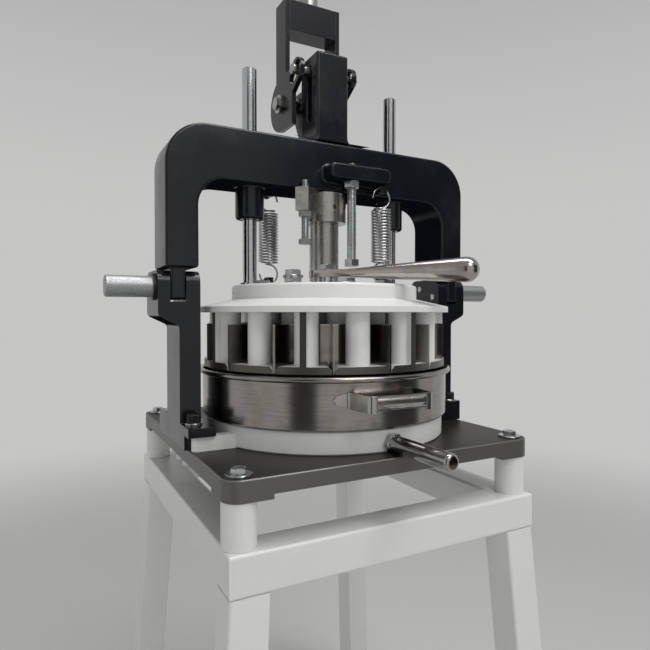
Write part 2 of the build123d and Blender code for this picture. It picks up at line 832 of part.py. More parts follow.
# Press shaft, its cross pin, the clamp collar and the depth bolt
with BuildPart() as press_shaft:
    round_z(0, 0, hub_top, collar_top, shaft_radius)
    round_z(0, 0, collar_top, plate_top + shaft_top, shaft_neck_radius)
    cross_reach = cheek_near + cheek_thickness + cross_pin_radius
    cross_hole = cross_pin_radius + running_fit
    round_x(-shaft_neck_radius, shaft_neck_radius, 0, cross_pin_z, cross_hole, Mode.SUBTRACT)
save(press_shaft, "press_shaft")

with BuildPart() as shaft_cross_pin:
    round_x(-cross_reach, cross_reach, 0, cross_pin_z, cross_pin_radius)
    chamfer(shaft_cross_pin.edges().filter_by(GeomType.CIRCLE), rod_bevel)
save(shaft_cross_pin, "shaft_cross_pin")

arm_reach = sqrt(collar_bolt_x**2 + collar_bolt_y**2)
arm_low = collar_top - collar_arm_height
with BuildPart() as clamp_collar:
    round_z(0, 0, collar_low, collar_top, collar_radius)
    with BuildSketch(Plane.XY.offset(arm_low)) as arm:
        with BuildLine():
            across = Vector(-collar_bolt_y, collar_bolt_x) * (collar_arm_width / 2 / arm_reach)
            arm_end = Vector(collar_bolt_x, collar_bolt_y) * (1 + collar_arm_width / 2 / arm_reach)
            Polyline(across, arm_end + across, arm_end - across, -across, close=True)
        make_face()
    extrude(amount=collar_arm_height)
    round_z(0, 0, collar_low, collar_top, shaft_radius + running_fit, Mode.SUBTRACT)
    round_z(collar_bolt_x, collar_bolt_y, arm_low, collar_top, bolt_radius + running_fit, Mode.SUBTRACT)
    round_y(-collar_radius, 0, 0, (collar_low + collar_top) / 2, collar_hole_radius, Mode.SUBTRACT)
save(clamp_collar, "clamp_collar")

with BuildPart() as depth_bolt:
    head_low = plate_top + depth_bolt_low
    nut_high = arm_low - seat_gap
    hex_z(collar_bolt_x, collar_bolt_y, head_low, head_low + bolt_head, bolt_across)
    round_z(collar_bolt_x, collar_bolt_y, head_low, plate_top + depth_bolt_high, bolt_radius)
    nut_low = nut_high - depth_nut_height
    hex_z(collar_bolt_x, collar_bolt_y, nut_low, nut_high, bolt_across, bolt_radius + running_fit)
save(depth_bolt, "depth_bolt")

# Knife hub, ring knives and blades: each blade and ring is sharpened towards the dough
blade_half = blade_thickness / 2
half_level = crown_low + blade_height / 2
main_step = 360 / inner_count


def blade_profile(middle):
    return [
        (middle - blade_half, blade_top),
        (middle - blade_half, crown_low + blade_bevel),
        (middle - blade_edge / 2, crown_low),
        (middle + blade_edge / 2, crown_low),
        (middle + blade_half, crown_low + blade_bevel),
        (middle + blade_half, blade_top),
    ]


def radial_blade(start, end, angle):
    with BuildSketch(radial_plane(start, angle)) as outline:
        with BuildLine():
            Polyline(*blade_profile(0), close=True)
        make_face()
    extrude(outline.sketch, amount=end - start)


def halving_slot(radius, angle, low, high, along, across):
    with BuildSketch(Plane.XY.offset(low)) as outline:
        with Locations(Location((*polar(radius, angle), 0), (0, 0, angle))):
            Rectangle(along, across)
    extrude(outline.sketch, amount=high - low, mode=Mode.SUBTRACT)


main_angles = [-90 + main_step * turn for turn in range(inner_count)]
slot_width = blade_thickness + 2 * running_fit
slot_length = 2 * blade_thickness

with BuildPart() as knife_hub:
    round_z(0, 0, crown_low, hub_top, hub_radius)
save(knife_hub, "knife_hub")

with BuildPart() as main_blades:
    for angle in main_angles:
        radial_blade(hub_radius, blade_reach, angle)
        for radius in (inner_ring_radius, outer_ring_radius):
            halving_slot(radius, angle, crown_low, half_level, slot_width, slot_length)
save(main_blades, "main_blades")

for name, radius in (("inner_ring_knife", inner_ring_radius), ("outer_ring_knife", outer_ring_radius)):
    with BuildPart() as ring_knife:
        with BuildSketch(Plane.XZ) as outline:
            with BuildLine():
                Polyline(*blade_profile(radius), close=True)
            make_face()
        revolve(axis=Axis.Z)
        for angle in main_angles:
            halving_slot(radius, angle, half_level, blade_top, slot_length, slot_width)
    save(ring_knife, name)

with BuildPart() as middle_blades:
    for turn in range(middle_count):
        angle = -90 + 360 / middle_count * turn
        if angle not in main_angles:
            radial_blade(inner_ring_radius + blade_half, outer_ring_radius - blade_half - face_gap, angle)
save(middle_blades, "middle_blades")

with BuildPart() as outer_blades:
    for turn in range(outer_count):
        angle = -90 + 360 / outer_count * turn
        if angle not in main_angles:
            radial_blade(outer_ring_radius + blade_half, blade_reach, angle)
save(outer_blades, "outer_blades")


# Press pads: a ring cut into sectors by the blade slits, each sector hung from the flange by a post
def press_pads(count, inner, outer, post_reach, post_radius_here, ribs=0):
    slit = blade_thickness + 2 * blade_gap
    step = 360 / count
    with BuildPart() as pads:
        with BuildSketch(Plane.XY.offset(crown_low)) as outline:
            Circle(outer)
            Circle(inner, mode=Mode.SUBTRACT)
            for turn in range(count):
                with Locations(Location((0, 0, 0), (0, 0, -90 + step * turn))):
                    reach = outer + pad_thickness
                    Rectangle(reach, slit, align=(Align.MIN, Align.CENTER), mode=Mode.SUBTRACT)
        extrude(amount=pad_thickness)
        chamfer(pads.edges().filter_by(GeomType.LINE).group_by(Axis.Z)[-1], pad_notch)
        for turn in range(count):
            angle = -90 + step * (turn + 1 / 2)
            x, y = polar(post_reach, angle)
            round_z(x, y, pads_top, flange_low, post_radius_here)
        for turn in range(ribs):
            angle = -90 - step * (3 + 1 / 2) + 2 * step * turn
            with BuildSketch(Plane.XY.offset(pads_top)) as rib:
                with Locations(Location((*polar(post_reach, angle), 0), (0, 0, angle))):
                    Rectangle(outer, post_rib, align=(Align.MIN, Align.CENTER))
                Circle(outer, mode=Mode.INTERSECT)
            extrude(amount=flange_low - pads_top)
    return pads


pad_margin = blade_half + blade_gap
outer_pads = press_pads(
    outer_count, outer_ring_radius + pad_margin, pad_outer, outer_post_reach, outer_post_radius, rib_count
)
save(outer_pads, "outer_pads")
middle_pads = press_pads(
    middle_count,
    inner_ring_radius + pad_margin,
    outer_ring_radius - pad_margin,
    middle_post_reach,
    middle_post_radius,
)
save(middle_pads, "middle_pads")
inner_pads = press_pads(
    inner_count, pad_inner, inner_ring_radius - pad_margin, inner_post_reach, middle_post_radius
)
save(inner_pads, "inner_pads")

# Crown flange and upper disc with their bolts and guide rods; one bolt carries the lock lever's stop
disc_bolt_places = [
    polar(disc_bolt_reach, disc_bolt_start + 360 / disc_bolt_count * turn) for turn in range(disc_bolt_count)
]
with BuildPart() as crown_flange:
    with BuildSketch(Plane.XZ) as section:
        with BuildLine():
            Polyline(
                (shaft_radius + running_fit, flange_low),
                (flange_radius, flange_low),
                (flange_radius, flange_low + flange_rim),
                (disc_radius + flange_shoulder, disc_low),
                (shaft_radius + running_fit, disc_low),
                close=True,
            )
        make_face()
    revolve(axis=Axis.Z)
    for x, y in disc_bolt_places:
        round_z(x, y, disc_low - disc_bolt_depth, disc_low, disc_bolt_radius + running_fit, Mode.SUBTRACT)
save(crown_flange, "crown_flange")

with BuildPart() as upper_disc:
    round_z(0, 0, disc_low, disc_top, disc_radius)
    fillet(upper_disc.edges().group_by(Axis.Z)[-1], disc_round)
    round_z(0, 0, disc_low, disc_top, shaft_radius + running_fit, Mode.SUBTRACT)
    for x, y in disc_bolt_places:
        round_z(x, y, disc_low, disc_top, disc_bolt_radius + drill_gap, Mode.SUBTRACT)
    for side in (-1, 1):
        round_z(side * guide_reach, 0, disc_low, disc_top, guide_rod_radius + running_fit, Mode.SUBTRACT)
    round_z(lock_x, lock_y, disc_low, disc_top, lock_bolt_radius + running_fit, Mode.SUBTRACT)
    for angle in (rod_screw_angle, rod_screw_angle + 180):
        with BuildSketch(radial_plane(disc_radius - rod_screw_depth, angle)) as screw_hole:
            with Locations((0, (disc_low + disc_top) / 2)):
                Circle(rod_screw_radius)
        extrude(amount=rod_screw_depth, mode=Mode.SUBTRACT)
save(upper_disc, "upper_disc")

with BuildPart() as disc_bolts:
    for x, y in disc_bolt_places:
        head_low = disc_top + disc_washer + 2 * seat_gap
        washer_hole = disc_bolt_radius + drill_gap
        ring_z(x, y, disc_top + seat_gap, head_low - seat_gap, disc_washer_radius, washer_hole)
        hex_z(x, y, head_low, head_low + disc_bolt_head, disc_bolt_across)
        round_z(x, y, disc_low - disc_bolt_depth + face_gap, head_low, disc_bolt_radius)
    stop_x, stop_y = disc_bolt_places[lever_stop_place]
    stop_low = head_low + disc_bolt_head
    stop_high = stop_low + lever_stop_flange
    round_z(stop_x, stop_y, stop_low, stop_high, lever_stop_radius)
    hex_z(stop_x, stop_y, stop_high, stop_high + lever_stop_head, lever_stop_across)
save(disc_bolts, "disc_bolts")

with BuildPart() as guide_rods:
    for side in (-1, 1):
        round_z(side * guide_reach, 0, disc_low, plate_top + guide_rod_top, guide_rod_radius)
    chamfer(guide_rods.edges().group_by(Axis.Z)[-1], rod_bevel)
    for side in (-1, 1):
        round_z(side * guide_reach, 0, disc_top, disc_top + guide_collar, guide_collar_radius)
save(guide_rods, "guide_rods")

# Lock lever on its pivot bolt
lock_low = disc_top + lock_spacer
lock_high = lock_low + lock_thickness
lock_middle = (lock_low + lock_high) / 2
with BuildPart() as lock_pivot_bolt:
    head_low = lock_high + face_gap
    round_z(lock_x, lock_y, disc_top, lock_low - face_gap, lock_half_width)
    round_z(lock_x, lock_y, disc_low, head_low, lock_bolt_radius)
    hex_z(lock_x, lock_y, head_low, head_low + lock_bolt_head, lock_bolt_across)
save(lock_pivot_bolt, "lock_pivot_bolt")

lock_frame = Plane(
    origin=(lock_x, lock_y, lock_middle),
    x_dir=(*polar(1, lock_angle), 0),
    z_dir=(0, 0, 1),
)
with BuildPart() as lock_lever:
    with BuildSketch(lock_frame.offset(-lock_thickness / 2)) as root:
        with Locations((-lock_tail, 0)):
            Circle(lock_half_width)
        with BuildLine():
            Polyline(
                (-lock_tail, -lock_half_width),
                (0, -lock_half_width),
                (lock_root, -lock_neck_radius),
                (lock_root, lock_neck_radius),
                (0, lock_half_width),
                (-lock_tail, lock_half_width),
                close=True,
            )
        make_face()
    extrude(amount=lock_thickness)
    with BuildSketch(lock_frame) as handle:
        with BuildLine():
            Polyline(
                (lock_length, lock_end_radius),
                (lock_root - lock_neck_radius, lock_neck_radius),
                (lock_root - lock_neck_radius, 0),
                (lock_length + lock_end_radius, 0),
            )
            RadiusArc((lock_length, lock_end_radius), (lock_length + lock_end_radius, 0), lock_end_radius)
        make_face()
    revolve(axis=Axis((lock_x, lock_y, lock_middle), (*polar(1, lock_angle), 0)))
    round_z(lock_x, lock_y, lock_low, lock_high, lock_bolt_radius + running_fit, Mode.SUBTRACT)
save(lock_lever, "lock_lever")

# Base disc with its two ears, and the hand lever screwed into the front
lever_frame = Plane(
    origin=(0, 0, plate_top + base_lever_height),
    x_dir=(cos(lever_turn), sin(lever_turn), 0),
    z_dir=(sin(lever_turn), -cos(lever_turn), 0),
)
with BuildPart() as base_disc:
    round_z(0, 0, plate_top, base_top, base_radius)
    chamfer(base_disc.edges(), base_edge)
    for side in (-1, 1):
        with BuildSketch(Plane.XY.offset(plate_top)) as ear:
            with Locations((side * (ear_reach + ear_root) / 2, -side * (ear_front + ear_rear) / 2)):
                RectangleRounded(ear_reach - ear_root, ear_rear - ear_front, ear_round)
        extrude(amount=ear_height)
    with BuildSketch(lever_frame.offset(base_radius - base_lever_seat)) as seat:
        Circle(base_stud_radius + running_fit)
    extrude(amount=base_lever_seat, mode=Mode.SUBTRACT)
save(base_disc, "base_disc")

with BuildPart() as base_lever:
    lever_start = base_radius - base_lever_seat + face_gap
    nut_start = base_radius + seat_gap
    bar_start = nut_start + base_nut_length + seat_gap
    with BuildSketch(lever_frame.offset(lever_start)) as stud:
        Circle(base_stud_radius)
    extrude(amount=bar_start - lever_start)
    with BuildSketch(lever_frame.offset(bar_start)) as bar:
        Circle(base_lever_radius)
    extrude(amount=base_lever_reach - bar_start)
    fillet(base_lever.edges().group_by(Axis.Y)[0], lever_end_round)
    with BuildSketch(lever_frame.offset(nut_start)) as nut:
        RegularPolygon(base_nut_across / 2, 6, major_radius=False)
        Circle(base_stud_radius + running_fit, mode=Mode.SUBTRACT)
    extrude(amount=base_nut_length)
save(base_lever, "base_lever")

# Spun pan with a rolled bead, and two tube handles on strap brackets
bead_z = pan_rim - pan_bead
with BuildPart() as dough_pan:
    with BuildSketch(Plane.XZ) as section:
        with BuildLine():
            Polyline(
                (0, base_top),
                (pan_outer - pan_corner, base_top),
                (pan_outer, base_top + pan_corner),
                (pan_outer, bead_z),
                (pan_inner, bead_z),
                (pan_inner, base_top + pan_corner),
                (pan_inner - pan_corner + pan_floor - pan_wall, base_top + pan_floor),
                (0, base_top + pan_floor),
                close=True,
            )
        make_face()
        with Locations((pan_inner + pan_bead, bead_z)):
            Circle(pan_bead)
    revolve(axis=Axis.Z)
save(dough_pan, "dough_pan")

grip_z = base_top + grip_height
grip_reach = pan_outer + grip_standoff
handle_angles = (pan_handle_angle, pan_handle_angle + 180)
with BuildPart() as pan_handle_straps:
    for angle in handle_angles:
        for side in (-1, 1):
            with BuildSketch(Plane.XY.offset(grip_z - strap_height / 2)) as strap:
                foot = angle + side * strap_foot_angle
                tab = foot + side * strap_tab_angle
                wall = (pan_outer + seat_gap) / cos(radians(strap_tab_angle / 2))
                outside = wall + strap_thickness
                along = Vector(*polar(1, angle))
                across = Vector(*polar(1, angle + 90)) * side
                grip_end = along * (grip_reach + grip_radius) + across * (grip_half + strap_thickness)
                with BuildLine():
                    Polyline(
                        polar(wall, tab),
                        polar(wall, foot),
                        grip_end - along * 2 * grip_radius - across * strap_thickness,
                        grip_end - across * strap_thickness,
                        grip_end,
                        grip_end - along * 2 * grip_radius,
                        polar(outside, foot + side * strap_thickness / 2),
                        polar(outside, tab),
                        close=True,
                    )
                make_face()
            extrude(amount=strap_height)
save(pan_handle_straps, "pan_handle_straps")

with BuildPart() as pan_handle_grips:
    for angle in handle_angles:
        grip_frame = Plane(origin=(*polar(grip_reach, angle), grip_z), z_dir=(*polar(1, angle + 90), 0))
        with BuildSketch(grip_frame) as grip:
            Circle(grip_radius)
        extrude(amount=grip_half, both=True)
save(pan_handle_grips, "pan_handle_grips")

# Main lever: pivot pin with spacers and rings, two slotted cheeks, cross block, tube and grip
with BuildPart() as lever_pivot_pin:
    round_x(-pivot_reach, pivot_reach, pivot_y, pivot_z, pivot_radius)
    for side in (-1, 1):
        spacer = sorted((side * (lug_half + seat_gap), side * (cheek_near - face_gap)))
        ring_x(*spacer, pivot_y, pivot_z, pivot_ring_radius, pivot_radius + running_fit)
        keeper_near = cheek_near + cheek_thickness + face_gap
        keeper = sorted((side * keeper_near, side * (keeper_near + pivot_ring)))
        ring_x(*keeper, pivot_y, pivot_z, pivot_ring_radius, pivot_radius + running_fit)
save(lever_pivot_pin, "lever_pivot_pin")

pin_arm = sqrt(pivot_y**2 + (cross_pin_z - pivot_z) ** 2)
pin_lift = atan((cross_pin_z - pivot_z) / pivot_y)
slot_near = pivot_y - cross_pin_radius
slot_far = pin_arm + cross_pin_radius
slot_middle = (slot_near + slot_far) / 2
with BuildPart() as lever_cheeks:
    for side in (-1, 1):
        start = side * cheek_near if side > 0 else -cheek_near - cheek_thickness
        with BuildSketch(Plane.YZ.offset(start)) as cheek:
            with Locations((pivot_y, pivot_z)):
                Circle(cheek_radius)
            with Locations((pivot_y - cheek_radius / 2, pivot_z)):
                Rectangle(cheek_radius, 2 * cheek_radius)
            with Locations((pivot_y, pivot_z)):
                Rectangle(block_depth, cheek_length, align=(Align.CENTER, Align.MIN))
            nose_y = pivot_y - pin_arm * cos(pin_lift)
            nose_z = pivot_z + pin_arm * sin(pin_lift)
            tilt = (0, 0, -pin_lift * 180 / pi)
            with Locations(Location(((pivot_y + nose_y) / 2, (pivot_z + nose_z) / 2, 0), tilt)):
                SlotCenterToCenter(pin_arm, 2 * (cheek_nose + cross_pin_slack))
            with Locations((pivot_y, pivot_z)):
                Circle(pivot_radius + running_fit, mode=Mode.SUBTRACT)
            slot_y = pivot_y - slot_middle * cos(pin_lift)
            slot_z = pivot_z + slot_middle * sin(pin_lift)
            slot_width = 2 * (cross_pin_radius + cross_pin_slack)
            with Locations(Location((slot_y, slot_z, 0), tilt)):
                SlotCenterToCenter(slot_far - slot_near, slot_width, mode=Mode.SUBTRACT)
        extrude(amount=cheek_thickness)
save(lever_cheeks, "lever_cheeks")

block_low_z = pivot_z + block_low
block_high_z = pivot_z + cheek_length
with BuildPart() as lever_block:
    half_depth = block_depth / 2
    block_z(-cheek_near, cheek_near, pivot_y - half_depth, pivot_y + half_depth, block_low_z, block_high_z)
    seat_low = (block_low_z + block_high_z) / 2
    round_z(0, pivot_y, seat_low, block_high_z, lever_tube_radius + running_fit, Mode.SUBTRACT)
save(lever_block, "lever_block")

with BuildPart() as lever_tube:
    tube_bore = lever_tube_radius - lever_tube_wall
    ring_z(0, pivot_y, seat_low, pivot_z + lever_reach, lever_tube_radius, tube_bore)
save(lever_tube, "lever_tube")

with BuildPart() as lever_grip:
    grip_low = pivot_z + lever_reach - lever_grip_length + lever_grip_wall
    grip_high = pivot_z + lever_reach + 2 * lever_grip_wall
    round_z(0, pivot_y, grip_low, grip_high, lever_tube_radius + lever_grip_wall)
    fillet(lever_grip.edges(), lever_grip_wall)
    grip_bore = lever_tube_radius + running_fit
    round_z(0, pivot_y, grip_low, pivot_z + lever_reach + face_gap, grip_bore, Mode.SUBTRACT)
save(lever_grip, "lever_grip")
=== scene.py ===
import bpy
import bmesh
import json
import math
from mathutils import Matrix, Vector


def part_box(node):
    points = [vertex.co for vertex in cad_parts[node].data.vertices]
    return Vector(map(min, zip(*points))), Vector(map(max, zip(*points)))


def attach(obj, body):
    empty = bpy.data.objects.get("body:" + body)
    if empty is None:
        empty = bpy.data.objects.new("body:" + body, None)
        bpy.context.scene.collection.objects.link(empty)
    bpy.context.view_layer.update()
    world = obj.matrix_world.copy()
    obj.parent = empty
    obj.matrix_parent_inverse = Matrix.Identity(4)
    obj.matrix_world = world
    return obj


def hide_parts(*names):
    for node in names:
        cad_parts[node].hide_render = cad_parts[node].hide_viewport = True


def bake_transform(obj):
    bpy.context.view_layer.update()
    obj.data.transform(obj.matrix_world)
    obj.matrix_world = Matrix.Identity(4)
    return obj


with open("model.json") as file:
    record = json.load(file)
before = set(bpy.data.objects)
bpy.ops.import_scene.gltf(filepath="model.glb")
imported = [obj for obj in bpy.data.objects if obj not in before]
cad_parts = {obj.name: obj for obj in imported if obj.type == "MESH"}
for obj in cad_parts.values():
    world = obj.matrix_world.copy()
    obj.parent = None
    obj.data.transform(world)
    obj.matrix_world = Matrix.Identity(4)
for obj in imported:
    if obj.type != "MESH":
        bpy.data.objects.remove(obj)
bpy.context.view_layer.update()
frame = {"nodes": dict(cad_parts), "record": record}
nodes = frame["nodes"]
bodies = frame["record"]["behaviour"]["bodies"]
bodyOf = {node: body for body, members in bodies.items() for node in members}
slotOf = {part["node"]: part["material_slot"] for part in frame["record"]["subparts"]}
scene = bpy.context.scene
scene.view_settings.view_transform = "Standard"

mm = 0.001
shaftLow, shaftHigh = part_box("press_shaft")
axisY = (shaftLow.y + shaftHigh.y) / 2  # the press axis stands at x = 0
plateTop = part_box("base_plate")[1].z
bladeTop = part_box("main_blades")[1].z
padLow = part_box("outer_pads")[0].z
print("frame loaded", len(nodes), "nodes")


# One socket of a material's tree: sums on it add Math nodes, and add() makes any other node
class Strand:
    def __init__(self, tree, socket=None):
        self.tree = tree
        self.socket = socket

    def add(self, kind, settings=None, inputs=None, output=0):
        made = self.tree.nodes.new("ShaderNode" + kind)
        for name, value in (settings or {}).items():
            setattr(made, name, value)
        for name, value in (inputs or {}).items():
            if isinstance(value, Strand):
                self.tree.links.new(value.socket, made.inputs[name])
            else:
                made.inputs[name].default_value = value
        return Strand(self.tree, made.outputs[output])

    def maths(self, operation, *values):
        return self.add("Math", {"operation": operation}, dict(enumerate(values)))

    def into(self, socket):
        self.tree.links.new(self.socket, socket)

    def __add__(self, value):
        return self.maths("ADD", self, value)

    def __sub__(self, value):
        return self.maths("SUBTRACT", self, value)

    def __rsub__(self, value):
        return self.maths("SUBTRACT", value, self)

    def __mul__(self, value):
        return self.maths("MULTIPLY", self, value)

    __radd__ = __add__
    __rmul__ = __mul__


# Patterns that several finishes share
def noise(place, scale, detail=4.0, rough=0.55):
    return place.add("TexNoise", None, {"Vector": place, "Scale": scale, "Detail": detail, "Roughness": rough})


def rise(value, low, high):
    ends = {"Value": value, "From Min": low, "From Max": high}
    return value.add("MapRange", {"interpolation_type": "SMOOTHSTEP"}, ends)


def patchy(place, scale, detail, rough, low, high):
    return rise(noise(place, scale, detail, rough), low, high)


def mixed(mask, first, second):
    colours = [value if isinstance(value, Strand) else (*value, 1) for value in (first, second)]
    return mask.add("Mix", {"data_type": "RGBA"}, {0: mask, 6: colours[0], 7: colours[1]}, 2)


def stretched(place, x, y, z):
    return place.add("VectorMath", {"operation": "MULTIPLY"}, {0: place, 1: (x, y, z)})


def dotted(first, second):
    return first.add("VectorMath", {"operation": "DOT_PRODUCT"}, {0: first, 1: second}, 1)


def lengthOf(place):
    return place.add("VectorMath", {"operation": "LENGTH"}, {0: place}, 1)


def heightOf(place):
    return place.add("SeparateXYZ", None, {"Vector": place}, "Z")


def bumped(height, strength, depth, under=None):
    inputs = {"Strength": strength, "Distance": depth, "Height": height}
    if under:
        inputs["Normal"] = under
    return height.add("Bump", None, inputs)


edgeLook = {"samples": 4, "share": (0.01, 0.12)}


# Share of an edge near a point, from the difference between the face and its rounded neighbour
def edgeShare(place, radius):
    rounded = place.add("Bevel", {"samples": edgeLook["samples"]}, {"Radius": radius})
    plain = place.add("NewGeometry", output="Normal")
    return rise(1 - dotted(rounded, plain), *edgeLook["share"])


# Distance from the press axis and direction round it
def roundAxis(place):
    centred = place.add("Mapping", None, {"Vector": place, "Location": (0, -axisY, 0)})
    flat = stretched(centred, 1, 1, 0)
    return lengthOf(flat), flat.add("VectorMath", {"operation": "NORMALIZE"}, {0: flat})


def startFinish(name, fixed):
    material = bpy.data.materials.new(name)
    material.use_nodes = True
    shader = material.node_tree.nodes["Principled BSDF"]
    for socket, value in fixed.items():
        shader.inputs[socket].default_value = value
    return material, shader, Strand(material.node_tree).add("TexCoord", output="Object")


def dress(shader, colour, rough, normal):
    for name, strand in (("Base Color", colour), ("Roughness", rough), ("Normal", normal)):
        strand.into(shader.inputs[name])


# Show a second shader where the mask is full
def overlay(shader, mask, second):
    first = Strand(mask.tree, shader.outputs[0])
    both = mask.add("MixShader", None, {0: mask, 1: first, 2: second})
    both.into(mask.tree.nodes["Material Output"].inputs["Surface"])


# A pattern below is scale, detail, roughness and, for patches, the noise at their rim and at their middle
enamel = {
    "white": (0.80, 0.80, 0.785), "dull": (0.70, 0.695, 0.675), "bare": (0.52, 0.51, 0.49),
    "dullShare": 0.5, "bareShare": 0.35, "coat": 0.15, "gloss": 0.27, "glossSpread": 0.14, "edge": 0.003,
    "marks": (9, 6, 0.62), "marked": (0.5, 0.85), "chips": (55, 5, 0.55, 0.55, 0.75), "peel": (620, 2),
    "relief": (0.10, 0.0004),
}


# Gloss enamel on the tube stand: fine orange peel, faint hand marks, chipped edges
def makeWhitePaint(look):
    material, shader, place = startFinish("whiteEnamel", {"Metallic": 0.0, "Coat Weight": look["coat"]})
    marks = noise(place, *look["marks"])
    worn = edgeShare(place, look["edge"]) * patchy(place, *look["chips"])
    colour = mixed(rise(marks, *look["marked"]) * look["dullShare"], look["white"], look["dull"])
    colour = mixed(worn * look["bareShare"], colour, look["bare"])
    peel = bumped(noise(place, *look["peel"]), *look["relief"])
    dress(shader, colour, look["gloss"] + marks * look["glossSpread"], peel)
    return material


castWhite = {
    "white": (0.80, 0.80, 0.79), "grey": (0.60, 0.595, 0.58), "scuffed": (0.44, 0.43, 0.41),
    "bare": (0.42, 0.41, 0.39), "greyShare": 0.75, "scuffShare": 0.4, "bareShare": 0.5, "coat": 0.1,
    "gloss": 0.32, "glossSpread": 0.16, "edge": 0.0018, "clouds": (22, 5, 0.6), "clouded": (0.46, 0.78),
    "scuffs": (70, 6, 0.7, 0.60, 0.80), "scuffTall": 3, "chips": (90, 4, 0.55, 0.45, 0.65),
    "skin": (210, 4, 0.6), "relief": (0.16, 0.0007), "soil": {"whiteCasting": 0.3, "whitePads": 1.0},
}
padRim = {
    "reach": (0.1925, 0.1931), "under": (0.0002, 0.0008), "dark": (0.085, 0.075, 0.065),
    "light": (0.15, 0.137, 0.122), "rough": 0.36, "metal": 0.85, "turning": 900, "lines": (1, 3),
}


# Painted aluminium casting: soft casting skin, cloudy grey patches, and on the pads a bare turned rim
def makeWhiteCasting(name, look, rim=None):
    material, shader, place = startFinish(name, {"Coat Weight": look["coat"]})
    soil = look["soil"][name]
    clouds = noise(place, *look["clouds"])
    scuffs = patchy(stretched(place, 1, 1, look["scuffTall"]), *look["scuffs"])
    worn = edgeShare(place, look["edge"]) * patchy(place, *look["chips"])
    greyed = rise(clouds, *look["clouded"]) * (look["greyShare"] * soil)
    colour = mixed(greyed, look["white"], look["grey"])
    colour = mixed(scuffs * (look["scuffShare"] * soil), colour, look["scuffed"])
    colour = mixed(worn * look["bareShare"], colour, look["bare"])
    gloss = look["gloss"] + clouds * look["glossSpread"]
    if rim:
        reach, way = roundAxis(place)
        height = heightOf(place)
        under = 1 - rise(height, *(padLow + lift for lift in rim["under"]))
        bare = under.maths("MAXIMUM", rise(reach, *rim["reach"]), under)
        rings = reach.add("CombineXYZ", None, {"X": reach * rim["turning"], "Z": height * rim["turning"]})
        colour = mixed(bare, colour, mixed(noise(rings, *rim["lines"]), rim["dark"], rim["light"]))
        gloss = gloss + bare * (rim["rough"] - gloss)
        (bare * rim["metal"]).into(shader.inputs["Metallic"])
    dress(shader, colour, gloss, bumped(noise(place, *look["skin"]), *look["relief"]))
    return material


# Besides the paint's colours this holds a dead matt colour and the under and inside ranges, which paint shade on
# undersides and inward faces
blackIron = {
    "black": (0.0060, 0.0070, 0.0105), "haze": (0.0150, 0.0165, 0.0210), "edge": (0.06, 0.061, 0.065),
    "paintedShade": (0.0080, 0.0090, 0.0125), "hazeShare": 0.55, "smearShare": 0.25, "edgeShare": 0.75, "worn": 0.0025,
    "shine": 0.42, "rough": 0.20, "hazeRough": 0.13, "smearRough": 0.06, "hazes": (13, 7, 0.62, 0.46, 0.78),
    "smears": (60, 5, 0.65, 0.56, 0.82), "smearTall": 0.35, "chips": (75, 5, 0.65, 0.42, 0.62),
    "coarse": (120, 4, 0.6), "coarseRelief": 0.14, "fine": (900, 2), "fineRelief": 0.12, "fineShare": 3,
    "under": (0.4, 0.8), "inside": (0.75, 0.92),
}
# Which faces of each coat get the painted shade
blackCoats = {
    "black_casting": {"name": "blackCasting", "depth": 0.0007, "paintedShade": ("under",)},
    "arch": {"name": "blackArch", "depth": 0.0007, "paintedShade": ("under", "inside")},
    "lever_paint": {"name": "blackLeverPaint", "depth": 0.0003, "paintedShade": ()},
}


# Satin black paint on cast iron: rough skin, hazy wiped patches, worn grey edges, and painted shade where
# undersides and inward faces go dead matt
def makeBlackPaint(coat, look):
    fixed = {"Metallic": 0.0, "Specular IOR Level": look["shine"]}
    material, shader, place = startFinish(coat["name"], fixed)
    haze = patchy(place, *look["hazes"])
    smears = patchy(stretched(place, 1, 1, look["smearTall"]), *look["smears"])
    worn = edgeShare(place, look["worn"]) * patchy(place, *look["chips"])
    colour = mixed(haze * look["hazeShare"] + smears * look["smearShare"], look["black"], look["haze"])
    colour = mixed(worn * look["edgeShare"], colour, look["edge"])
    rough = look["rough"] + haze * look["hazeRough"] + smears * look["smearRough"]
    coarse = bumped(noise(place, *look["coarse"]), look["coarseRelief"], coat["depth"])
    fineDepth = coat["depth"] / look["fineShare"]
    dress(shader, colour, rough, bumped(noise(place, *look["fine"]), look["fineRelief"], fineDepth, coarse))
    # Painted shade: faces turned down or toward the press axis get a dead matt black with no reflection
    if coat["paintedShade"]:
        facing = place.add("NewGeometry", output="Normal")
        paintedShade = rise(0 - heightOf(facing), *look["under"])
        if "inside" in coat["paintedShade"]:
            reach, way = roundAxis(place)
            paintedShade = paintedShade.maths("MAXIMUM", paintedShade, rise(0 - dotted(facing, way), *look["inside"]))
        dead = {"Base Color": (*look["paintedShade"], 1), "Roughness": 1.0, "Specular IOR Level": 0.0}
        overlay(shader, paintedShade, paintedShade.add("BsdfPrincipled", None, dead))
    return material


plateLook = {
    "top": (0.040, 0.0375, 0.0345), "brown": (0.060, 0.0515, 0.0425), "side": (0.150, 0.146, 0.138),
    "sawn": (0.20, 0.195, 0.185), "edge": (0.42, 0.41, 0.40), "metal": 0.75, "stainShare": 0.7,
    "lineShare": 0.3, "sawShare": 0.5, "rough": 0.36, "lineRough": 0.12, "stainRough": 0.08,
    "broken": 0.0015, "brokenLeast": 0.45, "brokenMore": 0.4, "lineStretch": (4, 260, 4), "lines": (3, 4, 0.7),
    "stains": (7, 6, 0.65, 0.45, 0.75), "skin": (0.0003, 0.0001), "sawStretch": (5, 5, 300),
    "saw": (3, 3, 0.6), "sawMarks": (0.35, 0.65), "relief": (0.12, 0.0002),
}


